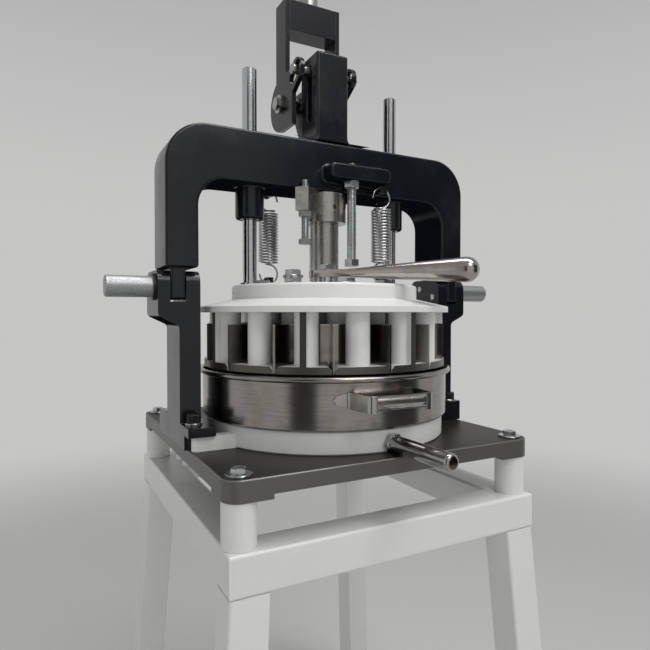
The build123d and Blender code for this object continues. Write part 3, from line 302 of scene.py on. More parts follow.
# Ground plate: dark brown grey face with grinding lines, paler sawn sides, bright broken edge
def makePlateSteel(look):
    material, shader, place = startFinish("groundPlate", {"Metallic": look["metal"]})
    lines = noise(stretched(place, *look["lineStretch"]), *look["lines"])
    stains = patchy(place, *look["stains"])
    saw = noise(stretched(place, *look["sawStretch"]), *look["saw"])
    face = mixed(stains * look["stainShare"] + lines * look["lineShare"], look["top"], look["brown"])
    side = mixed(saw * look["sawShare"], look["side"], look["sawn"])
    onTop = rise(heightOf(place), *(plateTop - depth for depth in look["skin"]))
    chipped = look["brokenLeast"] + look["brokenMore"] * rise(saw, *look["sawMarks"])
    colour = mixed(edgeShare(place, look["broken"]) * chipped, mixed(onTop, side, face), look["edge"])
    rough = look["rough"] + lines * look["lineRough"] + stains * look["stainRough"]
    dress(shader, colour, rough, bumped(lines * onTop + saw * (1 - onTop), *look["relief"]))
    return material


# The base bar's sizes stand here because its finish darkens the tip
barLook = {
    "turn": 1.0, "height": 13.0, "start": 170.3, "stud": 8, "studTip": 0.8, "shoulder": 200.04,
    "shoulderEase": 1, "reach": 312, "radius": 11.2, "round": 5.6, "nut": 24, "seat": 190.02, "nutLength": 10,
    "nutFit": 0.05, "steps": 56, "roundStep": 10,
}
barWay = Vector((math.sin(math.radians(barLook["turn"])), -math.cos(math.radians(barLook["turn"])), 0))
barTip = barLook["reach"] * mm + barWay.y * axisY

# Bare metals by slot: name, colour, tint of the patches, roughness, stretch of the marks, scale of the patches
metalLooks = {
    "zinc_steel": ("zincSteel", (0.58, 0.61, 0.63), (0.42, 0.42, 0.39), 0.19, (60, 60, 60), 48),
    "polished_steel": ("polishedSteel", (0.50, 0.47, 0.44), (0.34, 0.31, 0.28), 0.12, (300, 300, 20), 20),
    "base_bar": ("chromeBar", (0.42, 0.42, 0.42), (0.34, 0.335, 0.33), 0.05, (60, 60, 60), 24),
    "guide_rods": ("chromeRod", (0.60, 0.61, 0.63), (0.50, 0.505, 0.515), 0.09, (20, 20, 260), 24),
    "handles": ("handleSteel", (0.46, 0.44, 0.415), (0.31, 0.285, 0.26), 0.15, (120, 120, 120), 60),
    "cross_rods": ("drawnBar", (0.45, 0.46, 0.465), (0.26, 0.265, 0.27), 0.42, (40, 400, 400), 420),
    "collar": ("nickelCollar", (0.46, 0.447, 0.405), (0.33, 0.315, 0.27), 0.21, (40, 40, 500), 60),
    "spring_steel": ("springWire", (0.52, 0.535, 0.54), (0.42, 0.425, 0.42), 0.15, (90, 90, 90), 20),
    "machined_steel": ("turnedSteel", (0.46, 0.44, 0.415), (0.36, 0.335, 0.31), 0.17, (14, 14, 300), 16),
    "lever_tube": ("drawnTube", (0.46, 0.44, 0.415), (0.39, 0.37, 0.345), 0.20, (110, 110, 5), 12),
    "knife_steel": ("knifeSteel", (0.29, 0.27, 0.243), (0.19, 0.168, 0.146), 0.07, (160, 160, 14), 30),
    "bronze": ("turnedBronze", (0.20, 0.15, 0.08), (0.12, 0.09, 0.05), 0.30, (10, 10, 600), 48),
}
metalWear = {
    "marks": (1.6, 4, 0.6), "patches": (6, 0.62, 0.42, 0.70), "patchShare": 0.65, "markShare": 0.25,
    "edge": 0.0008, "edgeColour": (0.70, 0.70, 0.69), "edgeShare": 0.45, "patchRough": 0.10, "markRough": 0.08,
    "relief": (0.10, 0.00012),
}
crestLook = {"ends": (0.0012, 0.0006), "share": 0.8, "colour": (0.55, 0.54, 0.52)}
scoreLook = {
    "stretch": (60, 60, 900), "lines": (1, 5, 0.7, 0.60, 0.68), "share": 0.8, "colour": (0.06, 0.055, 0.045),
}
tipLook = {"ends": (0.0004, 0.0001), "colour": (0.15, 0.105, 0.08)}


# Fine marks along a stretched noise; the knives have a bright crest, the collar scores, the bar a brown tip
def makeMetal(slot, wear):
    name, light, tint, rough, marksStretch, patchScale = metalLooks[slot]
    material, shader, place = startFinish(name, {"Metallic": 1.0})
    marks = noise(stretched(place, *marksStretch), *wear["marks"])
    patches = patchy(place, patchScale, *wear["patches"])
    colour = mixed(patches * wear["patchShare"] + marks * wear["markShare"], light, tint)
    if slot == "knife_steel":
        crest = rise(heightOf(place), *(bladeTop - depth for depth in crestLook["ends"]))
        colour = mixed(crest * crestLook["share"], colour, crestLook["colour"])
    if slot == "collar":
        scores = patchy(stretched(place, *scoreLook["stretch"]), *scoreLook["lines"])
        colour = mixed(scores * scoreLook["share"], colour, scoreLook["colour"])
    if slot == "base_bar":
        tip = rise(dotted(place, barWay), *(barTip - depth for depth in tipLook["ends"]))
        colour = mixed(tip, colour, tipLook["colour"])
    colour = mixed(edgeShare(place, wear["edge"]) * wear["edgeShare"], colour, wear["edgeColour"])
    rough = rough + patches * wear["patchRough"] + marks * wear["markRough"]
    dress(shader, colour, rough, bumped(marks, *wear["relief"]))
    return material


oxideLook = {
    "black": (0.016, 0.016, 0.017), "brown": (0.034, 0.031, 0.028), "edge": (0.16, 0.155, 0.15), "metal": 0.6,
    "rough": 0.34, "patchRough": 0.14, "worn": 0.0008, "edgeShare": 0.6, "patches": (120, 5, 0.6, 0.42, 0.70),
    "chips": (200, 3, 0.55, 0.4, 0.6), "grain": (800, 2), "relief": (0.15, 0.00015),
}


# Phosphated screws and pins: near black with a brown cast and a little sheen
def makeBlackOxide(look):
    material, shader, place = startFinish("blackOxide", {"Metallic": look["metal"]})
    patches = patchy(place, *look["patches"])
    worn = edgeShare(place, look["worn"]) * patchy(place, *look["chips"])
    colour = mixed(patches, look["black"], look["brown"])
    colour = mixed(worn * look["edgeShare"], colour, look["edge"])
    grain = bumped(noise(place, *look["grain"]), *look["relief"])
    dress(shader, colour, look["rough"] + patches * look["patchRough"], grain)
    return material


panLook = {
    "light": (0.38, 0.36, 0.335), "dark": (0.235, 0.212, 0.188), "smear": (0.47, 0.455, 0.435),
    "edge": (0.62, 0.61, 0.60), "round": (5, 5, 5), "grainTall": 640, "grain": (1, 5, 0.7),
    "grainy": (0.3, 0.7), "grainShare": 0.6, "grainRough": 0.08, "reflectionBandTall": 16,
    "clouds": (1.3, 6, 0.6, 0.35, 0.70), "reflectionBandShare": 0.4, "smears": (26, 6, 0.7, 0.58, 0.80),
    "smearShare": 0.25, "smearRough": 0.08, "rough": 0.15, "worn": 0.0012, "edgeShare": 0.5,
    "relief": (0.14, 0.00012),
}


# Spun stainless: grain runs round the wall, wiped smears, and darker bands round the wall that are a painted
# reflection
def makePanSteel(look):
    material, shader, place = startFinish("spunStainless", {"Metallic": 1.0})
    reach, way = roundAxis(place)
    height = heightOf(place)

    def wrapped(tall):
        lift = height.add("CombineXYZ", None, {"Z": height * tall})
        return way.add("VectorMath", {"operation": "MULTIPLY_ADD"}, {0: way, 1: look["round"], 2: lift})

    grain = noise(wrapped(look["grainTall"]), *look["grain"])
    # Painted reflection: broad darker bands that follow the angle round the wall
    clouds = patchy(wrapped(look["reflectionBandTall"]), *look["clouds"])
    smears = patchy(place, *look["smears"])
    dark = clouds * look["reflectionBandShare"] + rise(grain, *look["grainy"]) * look["grainShare"]
    colour = mixed(smears * look["smearShare"], mixed(dark, look["light"], look["dark"]), look["smear"])
    colour = mixed(edgeShare(place, look["worn"]) * look["edgeShare"], colour, look["edge"])
    rough = look["rough"] + grain * look["grainRough"] + smears * look["smearRough"]
    dress(shader, colour, rough, bumped(grain, *look["relief"]))
    return material


rubberLook = {
    "black": (0.017, 0.017, 0.018), "dusty": (0.05, 0.049, 0.047), "dust": (60, 6, 0.65, 0.45, 0.75),
    "dustShare": 0.5, "rough": 0.58, "dustRough": 0.2, "grain": (1100, 3), "relief": (0.3, 0.0002),
}


def makeBlackRubber(look):
    material, shader, place = startFinish("blackRubber", {"Metallic": 0.0})
    dust = patchy(place, *look["dust"])
    colour = mixed(dust * look["dustShare"], look["black"], look["dusty"])
    grain = bumped(noise(place, *look["grain"]), *look["relief"])
    dress(shader, colour, look["rough"] + dust * look["dustRough"], grain)
    return material


finishes = {
    "white_paint": makeWhitePaint(enamel),
    "white_aluminium": makeWhiteCasting("whiteCasting", castWhite),
    "pads": makeWhiteCasting("whitePads", castWhite, padRim),
    "plate_steel": makePlateSteel(plateLook),
    "black_oxide": makeBlackOxide(oxideLook),
    "pan_steel": makePanSteel(panLook),
    "black_rubber": makeBlackRubber(rubberLook),
}
for slot, coat in blackCoats.items():
    finishes[slot] = makeBlackPaint(coat, blackIron)
for slot in metalLooks:
    finishes[slot] = makeMetal(slot, metalWear)

# Nodes whose finish differs from the plain one of their slot
ownFinish = {
    "arch": "arch",
    "outer_pads": "pads",
    "middle_pads": "pads",
    "inner_pads": "pads",
    "left_cross_rod": "cross_rods",
    "right_cross_rod": "cross_rods",
    "clamp_collar": "collar",
    "base_lever": "base_bar",
    "guide_rods": "guide_rods",
    "lever_tube": "lever_tube",
    "pan_handle_straps": "handles",
    "pan_handle_grips": "handles",
}
for node, slot in slotOf.items():
    mesh = nodes[node].data
    mesh.materials.clear()
    mesh.materials.append(finishes[ownFinish.get(node, slot)])
print("finishes ready", len(finishes))


# Make a piece from a bmesh: smooth between edges, its finish, its body and the nodes it stands for
def addPiece(name, bm, body, slot, *stands, smooth=38, finish=None):
    mesh = bpy.data.meshes.new(name)
    bm.to_mesh(mesh)
    bm.free()
    mesh.shade_smooth()
    mesh.set_sharp_from_angle(angle=math.radians(smooth))
    piece = bpy.data.objects.new(name, mesh)
    scene.collection.objects.link(piece)
    mesh.materials.append(finishes[finish or slot])
    if body:
        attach(piece, body)
    if stands:
        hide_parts(*stands)
    return piece


def easeEdges(piece, width, segments, angle):
    ease = piece.modifiers.new("ease", "BEVEL")
    ease.width = width * mm
    ease.segments = segments
    ease.limit_method = "ANGLE"
    ease.angle_limit = math.radians(angle)
    ease.harden_normals = True
    return ease


fitLook = {"weld": 1e-6, "cut": 1e-7}


def only(kind, parts):
    return [part for part in parts if isinstance(part, kind)]


def outward(bm):
    bmesh.ops.recalc_face_normals(bm, faces=bm.faces)
    return bm


def moved(bm, matrix):
    bmesh.ops.transform(bm, matrix=matrix, verts=bm.verts)
    return bm


# Turned shape: a profile of radius and height in millimetres, spun round the upright axis
def turned(profile, closed=False, steps=40):
    bm = bmesh.new()
    verts = [bm.verts.new((reach * mm, 0, height * mm)) for reach, height in profile]
    pairs = list(zip(verts, verts[1:]))
    if closed:
        pairs.append((verts[-1], verts[0]))
    edges = [bm.edges.new(pair) for pair in pairs]
    bmesh.ops.spin(
        bm, geom=verts + edges, cent=(0, 0, 0), axis=(0, 0, 1), dvec=(0, 0, 0), angle=2 * math.pi,
        steps=steps, use_merge=True, use_duplicate=False,
    )
    bmesh.ops.remove_doubles(bm, verts=bm.verts, dist=fitLook["weld"])
    return outward(bm)


# Cut away what lies beyond a plane and close the cut
def sawn(bm, point, away):
    whole = bm.verts[:] + bm.edges[:] + bm.faces[:]
    cut = bmesh.ops.bisect_plane(
        bm, geom=whole, dist=fitLook["cut"], plane_co=point, plane_no=away, clear_outer=True,
    )
    bmesh.ops.holes_fill(bm, edges=only(bmesh.types.BMEdge, cut["geom_cut"]), sides=0)


hexLook = {
    "first": 30, "inset": 0.35, "chamfer": 0.55, "foot": 0.4, "footShare": 0.5, "dishRim": 0.62,
    "dishFloor": 0.55, "dish": 0.25, "tip": 0.8, "mouth": 0.6, "steps": 48,
}
washerEase = 0.35


# Six flats milled on a turned blank, which leaves the curved chamfer of a real bolt head
def milled(bm, across):
    for flat in range(6):
        angle = math.radians(hexLook["first"] + 60 * flat)
        away = Vector((math.cos(angle), math.sin(angle), 0))
        sawn(bm, away * across * mm / 2, away)
    return bm


def hexSizes(across):
    corner = across / math.sqrt(3)
    inner = across / 2 - hexLook["inset"]
    return corner, inner, (corner - inner) * hexLook["chamfer"]


# Bolt with its head up (side 1) or down (side -1); heights run from the seat under the head
def hexBolt(look, side=1):
    corner, inner, chamfer = hexSizes(look["across"])
    head, radius, shank = look["head"], look["radius"], look["shank"]
    tip, foot, floor = hexLook["tip"], hexLook["foot"], head - hexLook["dish"]
    profile = [
        (0, -shank), (radius - tip, -shank), (radius, tip - shank), (radius, 0), (inner, 0), (inner, foot),
        (corner, foot + chamfer * hexLook["footShare"]), (corner, head - chamfer), (inner, head),
        (inner * hexLook["dishRim"], head), (inner * hexLook["dishFloor"], floor), (0, floor),
    ]
    bm = milled(turned(profile, steps=hexLook["steps"]), look["across"])
    if side < 0:
        bmesh.ops.rotate(bm, cent=(0, 0, 0), matrix=Matrix.Rotation(math.pi, 3, "X"), verts=bm.verts)
    return bm


def hexNut(across, height, hole):
    corner, inner, chamfer = hexSizes(across)
    mouth = hexLook["mouth"]
    profile = [
        (hole, mouth), (hole + mouth, 0), (inner, 0), (corner, chamfer), (corner, height - chamfer),
        (inner, height), (hole + mouth, height), (hole, height - mouth),
    ]
    return milled(turned(profile, closed=True, steps=hexLook["steps"]), across)


def washer(radius, hole, low, high):
    ease = min(washerEase, (high - low) / 4)
    profile = [
        (hole, low), (radius - ease, low), (radius, low + ease), (radius, high - ease), (radius - ease, high),
        (hole + ease, high), (hole, high - ease),
    ]
    return turned(profile, closed=True)


threadLook = {"depth": 0.58, "crest": (0.38, 0.52), "foot": 0.9, "runIn": 1.5, "spareTurns": 3, "steps": 20}


# Helical thread wound by a spin that climbs one pitch each turn, sawn square at both ends
def threaded(radius, pitch, low, high):
    bm = bmesh.new()
    root = radius - threadLook["depth"] * pitch
    rising, falling = threadLook["crest"]
    shape = [(root, 0), (radius, rising), (radius, falling), (root, threadLook["foot"]), (root, 1)]
    start = low - threadLook["runIn"] * pitch
    verts = [bm.verts.new((reach * mm, 0, (start + share * pitch) * mm)) for reach, share in shape]
    edges = [bm.edges.new(pair) for pair in zip(verts, verts[1:])]
    turns = math.ceil((high - low) / pitch) + threadLook["spareTurns"]
    steps = threadLook["steps"]
    bmesh.ops.spin(
        bm, geom=verts + edges, cent=(0, 0, 0), axis=(0, 0, 1), dvec=(0, 0, pitch * mm / steps),
        angle=2 * math.pi * turns, steps=steps * turns, use_merge=False, use_duplicate=False,
    )
    bmesh.ops.remove_doubles(bm, verts=bm.verts, dist=fitLook["weld"])
    outward(bm)
    sawn(bm, Vector((0, 0, low * mm)), Vector((0, 0, -1)))
    sawn(bm, Vector((0, 0, high * mm)), Vector((0, 0, 1)))
    return outward(bm)


# Add copies of a made shape to a piece, at places measured from the press axis and the plate's top
def stamp(target, stock, places=((0, 0, 0),)):
    mesh = bpy.data.meshes.new("stock")
    stock.to_mesh(mesh)
    stock.free()
    for x, y, z in places:
        count = len(target.verts)
        target.from_mesh(mesh)
        target.verts.ensure_lookup_table()
        shift = (x * mm, y * mm + axisY, z * mm + plateTop)
        bmesh.ops.translate(target, vec=shift, verts=target.verts[count:])
    bpy.data.meshes.remove(mesh)


# Castings and plates: copies of their CAD nodes with the sharp edges rounded over, widths in millimetres
easeLook = {"merge": 2e-6, "flat": 0.5, "smooth": 30, "segments": 3, "angle": 32, "unclamped": ("arch",)}
easeWidths = {
    "arch": 4.0,
    "left_upright": 1.3,
    "right_upright": 1.3,
    "base_plate": 0.9,
    "spacer_posts": 0.8,
    "crown_flange": 0.9,
    "outer_pads": 0.6,
    "middle_pads": 0.5,
    "inner_pads": 0.5,
    "base_disc": 0.9,
    "clamp_collar": 0.9,
    "lock_lever": 1.4,
    "lever_cheeks": 1.2,
    "lever_block": 1.6,
    "knife_hub": 0.8,
}
for node, width in easeWidths.items():
    bm = bmesh.new()
    bm.from_mesh(nodes[node].data)
    bmesh.ops.remove_doubles(bm, verts=bm.verts, dist=easeLook["merge"])
    flat = math.radians(easeLook["flat"])
    bmesh.ops.dissolve_limit(bm, angle_limit=flat, verts=bm.verts, edges=bm.edges)
    own = {"smooth": easeLook["smooth"], "finish": ownFinish.get(node)}
    piece = addPiece("eased_" + node, bm, bodyOf[node], slotOf[node], node, **own)
    stale = piece.data.attributes.get("custom_normal")
    if stale:
        piece.data.attributes.remove(stale)
    ease = easeEdges(piece, width, easeLook["segments"], easeLook["angle"])
    ease.use_clamp_overlap = node not in easeLook["unclamped"]
print("castings eased", len(easeWidths))

# Return springs: the wire is wound arc by arc along the same line as the frame's spring
springLook = {
    "radius": 15.5, "wire": 1.6, "pitch": 4.7, "turns": 18, "low": 272.0, "eye": 16.0, "rise": 2.4,
    "places": {"right": (79.0, -50.0), "left": (-74.0, 60.0)}, "sides": 12, "bend": 0.2, "fewest": 3,
    "hookArcs": 5,
}


# Two arcs that join one place and heading to another
def biarc(start, startWay, end, endWay):
    chord = end - start
    both = startWay + endWay
    spread = 2 * (1 - startWay.dot(endWay))
    reach = (math.sqrt(chord.dot(both) ** 2 + spread * chord.dot(chord)) - chord.dot(both)) / spread
    middle = (start + end + (startWay - endWay) * reach) / 2
    middleWay = (chord - both * reach).normalized()
    return [(start, startWay, middle), (middle, middleWay, end)]


# A spring's line from its lower eye to its upper one, as arcs with a start, a heading and an end
def springArcs(x, y, look):
    facing = 1 if y < 0 else -1
    middle = Vector((x * mm, y * mm + axisY, 0))
    low = plateTop + look["low"] * mm
    radius = look["radius"] * mm
    pitch = look["pitch"] * mm
    eye = look["eye"] * mm
    coil = []
    for step in range(2 * look["turns"] + 1):
        turn = math.pi * step + facing * math.pi / 2
        spot = middle + Vector((radius * math.cos(turn), radius * math.sin(turn), low + pitch * step / 2))
        heading = Vector((-radius * math.sin(turn), radius * math.cos(turn), pitch / (2 * math.pi)))
        coil.append((spot, heading.normalized()))
    along = Vector((facing, 0, 0))
    up = Vector((0, 0, 1))
    lowAxis = middle + up * (low - look["rise"] * mm)
    highAxis = middle + up * (low + look["turns"] * pitch + look["rise"] * mm)
    lowEnd = lowAxis - up * 2 * eye
    lowSide = lowAxis - (along + up) * eye
    highSide = highAxis + (along + up) * eye
    highEnd = highAxis + up * 2 * eye
    arcs = [(lowAxis + (along - up) * eye, -up, lowEnd), (lowEnd, -along, lowSide), (lowSide, up, lowAxis)]
    arcs += biarc(lowAxis, along, *coil[0])
    for here, after in zip(coil, coil[1:]):
        arcs += biarc(*here, *after)
    arcs += biarc(*coil[-1], highAxis, along)
    arcs += [(highAxis, along, highSide), (highSide, up, highEnd)]
    arcs.append((highEnd, -along, highAxis + (up - along) * eye))
    return arcs


# Sweep the wire's round section along a row of arcs
def wound(arcs, look):
    bm = bmesh.new()
    ring = bmesh.ops.create_circle(bm, radius=look["wire"] * mm, segments=look["sides"])["verts"]
    start, heading, end = arcs[0]
    lean = Vector((0, 0, 1)).rotation_difference(heading).to_matrix().to_4x4()
    moved(bm, Matrix.Translation(start) @ lean)
    section = ring + bm.edges[:]
    for start, heading, end in arcs:
        chord = end - start
        toward = (chord - heading * heading.dot(chord)).normalized()
        sweep = 2 * math.atan2(chord.dot(toward), chord.dot(heading))
        centre = start + toward * (chord.length / (2 * math.sin(sweep / 2)))
        steps = max(look["fewest"], math.ceil(sweep / look["bend"]))
        swept = bmesh.ops.spin(
            bm, geom=section, cent=centre, axis=heading.cross(toward), dvec=(0, 0, 0), angle=sweep,
            steps=steps, use_merge=False, use_duplicate=False,
        )
        section = swept["geom_last"]
    bmesh.ops.holes_fill(bm, edges=[edge for edge in bm.edges if edge.is_boundary], sides=0)
    return outward(bm)


# On the machine the coil runs between the frame and the knife set and its lower hook between the knife set and
# the press head; both pieces here are tied to no body
for side, (x, y) in springLook["places"].items():
    arcs = springArcs(x, y, springLook)
    coilWire = wound(arcs[springLook["hookArcs"]:], springLook)
    hookWire = wound(arcs[:springLook["hookArcs"]], springLook)
    coilLow = Vector((x * mm, y * mm + axisY, plateTop + springLook["low"] * mm))
    coil = addPiece(side + "SpringCoil", coilWire, None, "spring_steel", side + "_return_spring")
    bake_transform(coil)
    hook = addPiece(side + "SpringHook", hookWire, None, "spring_steel", side + "_return_spring")
    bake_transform(hook)
print("springs wound")

# Heights over a face: gap under a washer, top of the washer, seat of the head; and play in the washer's hole
boltSeat = {"gap": 0.02, "washer": 2.5, "head": 2.54, "play": 0.5}


def seatedBolts(look, places):
    bm = bmesh.new()
    hole = look["radius"] + boltSeat["play"]
    stamp(bm, washer(look["washer"], hole, boltSeat["gap"], boltSeat["washer"]), places)
    stamp(bm, hexBolt(look), [(x, y, z + boltSeat["head"]) for x, y, z in places])
    return bm


# Corner bolts of the plate with wide washers
cornerLook = {
    "x": 215.5, "front": -196.5, "rear": 266.5, "across": 17, "head": 6.4, "radius": 5, "shank": 59.5,
    "washer": 16,
}
cornerSides = (-cornerLook["x"], cornerLook["x"])
places = [(x, y, 0) for x in cornerSides for y in (cornerLook["front"], cornerLook["rear"])]
addPiece("cornerBolts", seatedBolts(cornerLook, places), "frame", "zinc_steel", "corner_bolts")

# Disc bolts round the upper disc; one carries the flanged stop of the lock lever
discLook = {
    "reach": 104, "first": -99, "count": 8, "across": 24, "head": 6, "radius": 8, "shank": 40.2,
    "washer": 14.5, "top": 231,
}
stackLook = {"bolt": 7, "flange": 15, "across": 22, "head": 8, "radius": 7, "shank": 4.5}
places = []
for bolt in range(discLook["count"]):
    turn = math.radians(discLook["first"] + 360 / discLook["count"] * bolt)
    places.append((discLook["reach"] * math.cos(turn), discLook["reach"] * math.sin(turn), discLook["top"]))
x, y, z = places[stackLook["bolt"]]
z += boltSeat["head"] + discLook["head"]
bm = seatedBolts(discLook, places)
stamp(bm, washer(stackLook["flange"], stackLook["radius"], 0, stackLook["shank"]), [(x, y, z)])
stamp(bm, hexBolt(stackLook), [(x, y, z + stackLook["shank"])])
addPiece("discBolts", bm, "press_head", "zinc_steel", "disc_bolts")

# Hidden bolts that hold the uprights from below
uprightLook = {"x": 228, "y": 20, "seat": -21, "across": 19, "head": 8, "radius": 6, "shank": 61}
bm = bmesh.new()
places = [(x * uprightLook["x"], y * uprightLook["y"], uprightLook["seat"]) for x in (-1, 1) for y in (-1, 1)]
stamp(bm, hexBolt(uprightLook, side=-1), places)
addPiece("uprightBolts", bm, "frame", "zinc_steel", "upright_bolts")


# Adjusting bolt: head down, a plain shank, a thread up to its end and a lock nut
def adjustingBolt(look):
    x, y = look["x"], look["y"]
    bm = bmesh.new()
    stamp(bm, hexBolt(look, side=-1), [(x, y, look["low"] + look["head"])])
    stamp(bm, threaded(look["radius"], look["pitch"], look["thread"], look["top"]), [(x, y, 0)])
    stamp(bm, hexNut(look["across"], look["nutHeight"], look["radius"]), [(x, y, look["nut"])])
    return bm


# Stop bolt under the arch's boss, plain for most of its length
stopLook = {
    "x": 23, "y": -50, "across": 22, "radius": 7, "low": 262, "head": 11, "shank": 93, "thread": 366,
    "pitch": 2, "top": 423, "nut": 384.98, "nutHeight": 11,
}
addPiece("stopBolt", adjustingBolt(stopLook), "frame", "zinc_steel", "stop_bolt")

# Depth bolt through the collar's arm, threaded all the way
depthLook = {
    "x": -55, "y": -42, "across": 19, "radius": 6, "low": 293, "head": 8, "shank": 1.5, "thread": 302,
    "pitch": 1.75, "top": 391, "nut": 334.68, "nutHeight": 9,
}
addPiece("depthBolt", adjustingBolt(depthLook), "knife_set", "zinc_steel", "depth_bolt")

# Pivot bolt of the lock lever on its spacer
pivotLook = {
    "x": -22, "y": -48, "across": 24, "radius": 8, "head": 8, "shank": 45.8, "seat": 254.8,
    "spacer": (14, 8.02, 231, 243.2),
}
bm = bmesh.new()
stamp(bm, washer(*pivotLook["spacer"]), [(pivotLook["x"], pivotLook["y"], 0)])
stamp(bm, hexBolt(pivotLook), [(pivotLook["x"], pivotLook["y"], pivotLook["seat"])])
addPiece("lockPivotBolt", bm, "press_head", "zinc_steel", "lock_pivot_bolt")
print("bolts set")

# Socket screws on the feet of the uprights: knurled black heads on bright washers
footLook = {
    "places": ((-228, -43, 0), (228, -43, 0), (-228, 82, 0)), "top": 33, "washer": 12, "head": 12, "radius": 9.5,
    "sides": 72, "knurl": 0.965, "chamfer": 1.2, "crown": 0.93, "rim": 2.6, "socket": 10,
    "bolt": 6, "low": -14.7, "tip": (5.4, -14),
}


def socketHead(look):
    bm = bmesh.new()
    radius = look["radius"] * mm
    ring = bmesh.ops.create_circle(bm, cap_ends=True, radius=radius, segments=look["sides"])["verts"]
    bmesh.ops.translate(bm, vec=(0, 0, (look["top"] + boltSeat["head"]) * mm), verts=ring)
    for vert in ring[::2]:
        bmesh.ops.scale(bm, vec=(look["knurl"], look["knurl"], 1), verts=[vert])
    face = bm.faces[:]
    for height, share in ((look["head"] - look["chamfer"], 1), (look["chamfer"], look["crown"])):
        grown = bmesh.ops.extrude_face_region(bm, geom=face)["geom"]
        verts = only(bmesh.types.BMVert, grown)
        bmesh.ops.translate(bm, vec=(0, 0, height * mm), verts=verts)
        bmesh.ops.scale(bm, vec=(share, share, 1), verts=verts)
        face = only(bmesh.types.BMFace, grown)
    bmesh.ops.inset_region(bm, faces=face, thickness=look["rim"] * mm, depth=0)
    for vert in face[0].verts:  # the inset ring becomes the socket's six flats
        angle = math.atan2(vert.co.y, vert.co.x)
        wedge = (angle % (math.pi / 3)) - math.pi / 6
        reach = look["socket"] * mm / 2 / math.cos(wedge)
        vert.co.x = reach * math.cos(angle)
        vert.co.y = reach * math.sin(angle)
    well = bmesh.ops.extrude_face_region(bm, geom=face)["geom"]
    bmesh.ops.translate(bm, vec=(0, 0, -look["head"] / 2 * mm), verts=only(bmesh.types.BMVert, well))
    bmesh.ops.delete(bm, geom=face, context="FACES_ONLY")
    return outward(bm)


radius, low = footLook["bolt"], footLook["low"]
seatLow, seatHigh = (footLook["top"] + boltSeat[name] for name in ("gap", "washer"))
bm = bmesh.new()
stamp(bm, washer(footLook["washer"], radius + boltSeat["play"], seatLow, seatHigh), footLook["places"])
addPiece("footWashers", bm, "frame", "zinc_steel", "foot_screws")
tipRadius, tipTop = footLook["tip"]
bm = bmesh.new()
stamp(bm, socketHead(footLook), footLook["places"])
shank = turned([(0, low), (tipRadius, low), (radius, tipTop), (radius, seatHigh), (0, seatHigh)])
stamp(bm, shank, footLook["places"])
addPiece("footScrews", bm, "frame", "black_oxide", "foot_screws")
print("foot screws set")

# Base bar: bright, round-ended, on a stud that a nut locks against the disc
radius, reach, bend = barLook["radius"], barLook["reach"], barLook["round"]
stud, start, studTip = barLook["stud"], barLook["start"], barLook["studTip"]
shoulder, shoulderEase = barLook["shoulder"], barLook["shoulderEase"]
profile = [
    (0, start), (stud - studTip, start), (stud, start + studTip), (stud, shoulder),
    (radius - shoulderEase, shoulder), (radius, shoulder + shoulderEase),
]
for step in range(90, -1, -barLook["roundStep"]):
    angle = math.radians(step)
    profile.append((radius - bend + bend * math.sin(angle), reach - bend + bend * math.cos(angle)))
profile.append((0, reach))
barLean = Vector((0, 0, 1)).rotation_difference(barWay).to_matrix().to_4x4()
barPlace = Matrix.Translation((0, axisY, plateTop + barLook["height"] * mm)) @ barLean
bm = moved(turned(profile, steps=barLook["steps"]), barPlace)
addPiece("baseBar", bm, "pan_group", "polished_steel", "base_lever", finish="base_bar")
bm = hexNut(barLook["nut"], barLook["nutLength"], stud + barLook["nutFit"])
moved(bm, barPlace @ Matrix.Translation((0, 0, barLook["seat"] * mm)))
addPiece("baseBarNut", bm, "pan_group", "polished_steel", "base_lever", finish="base_bar")

# Pan handles: a round grip between two folded straps, each with an eared tab welded to the wall
handleLook = {
    "turns": (-93, 87), "wall": 196.22, "foot": 15, "tab": 5.5, "tipShare": 0.55, "thick": 2.2, "tall": 22,
    "height": 74, "fold": 4.5, "foldSteps": 6, "lap": 9, "fit": 0.2, "grip": 9.5, "gripReach": 226.2,
    "gripEase": 0.8, "half": 45, "ear": 3.4, "earSide": 1.6, "earTop": 2.4, "earEase": 0.8, "ease": (0.5, 2, 40),
}


def handleSpot(reach, turn, side=0.0):
    angle = math.radians(turn)
    out = Vector((math.cos(angle), math.sin(angle), 0))
    across = Vector((-math.sin(angle), math.cos(angle), 0))
    return (out * reach + across * side + Vector((0, 0, handleLook["height"]))) * mm


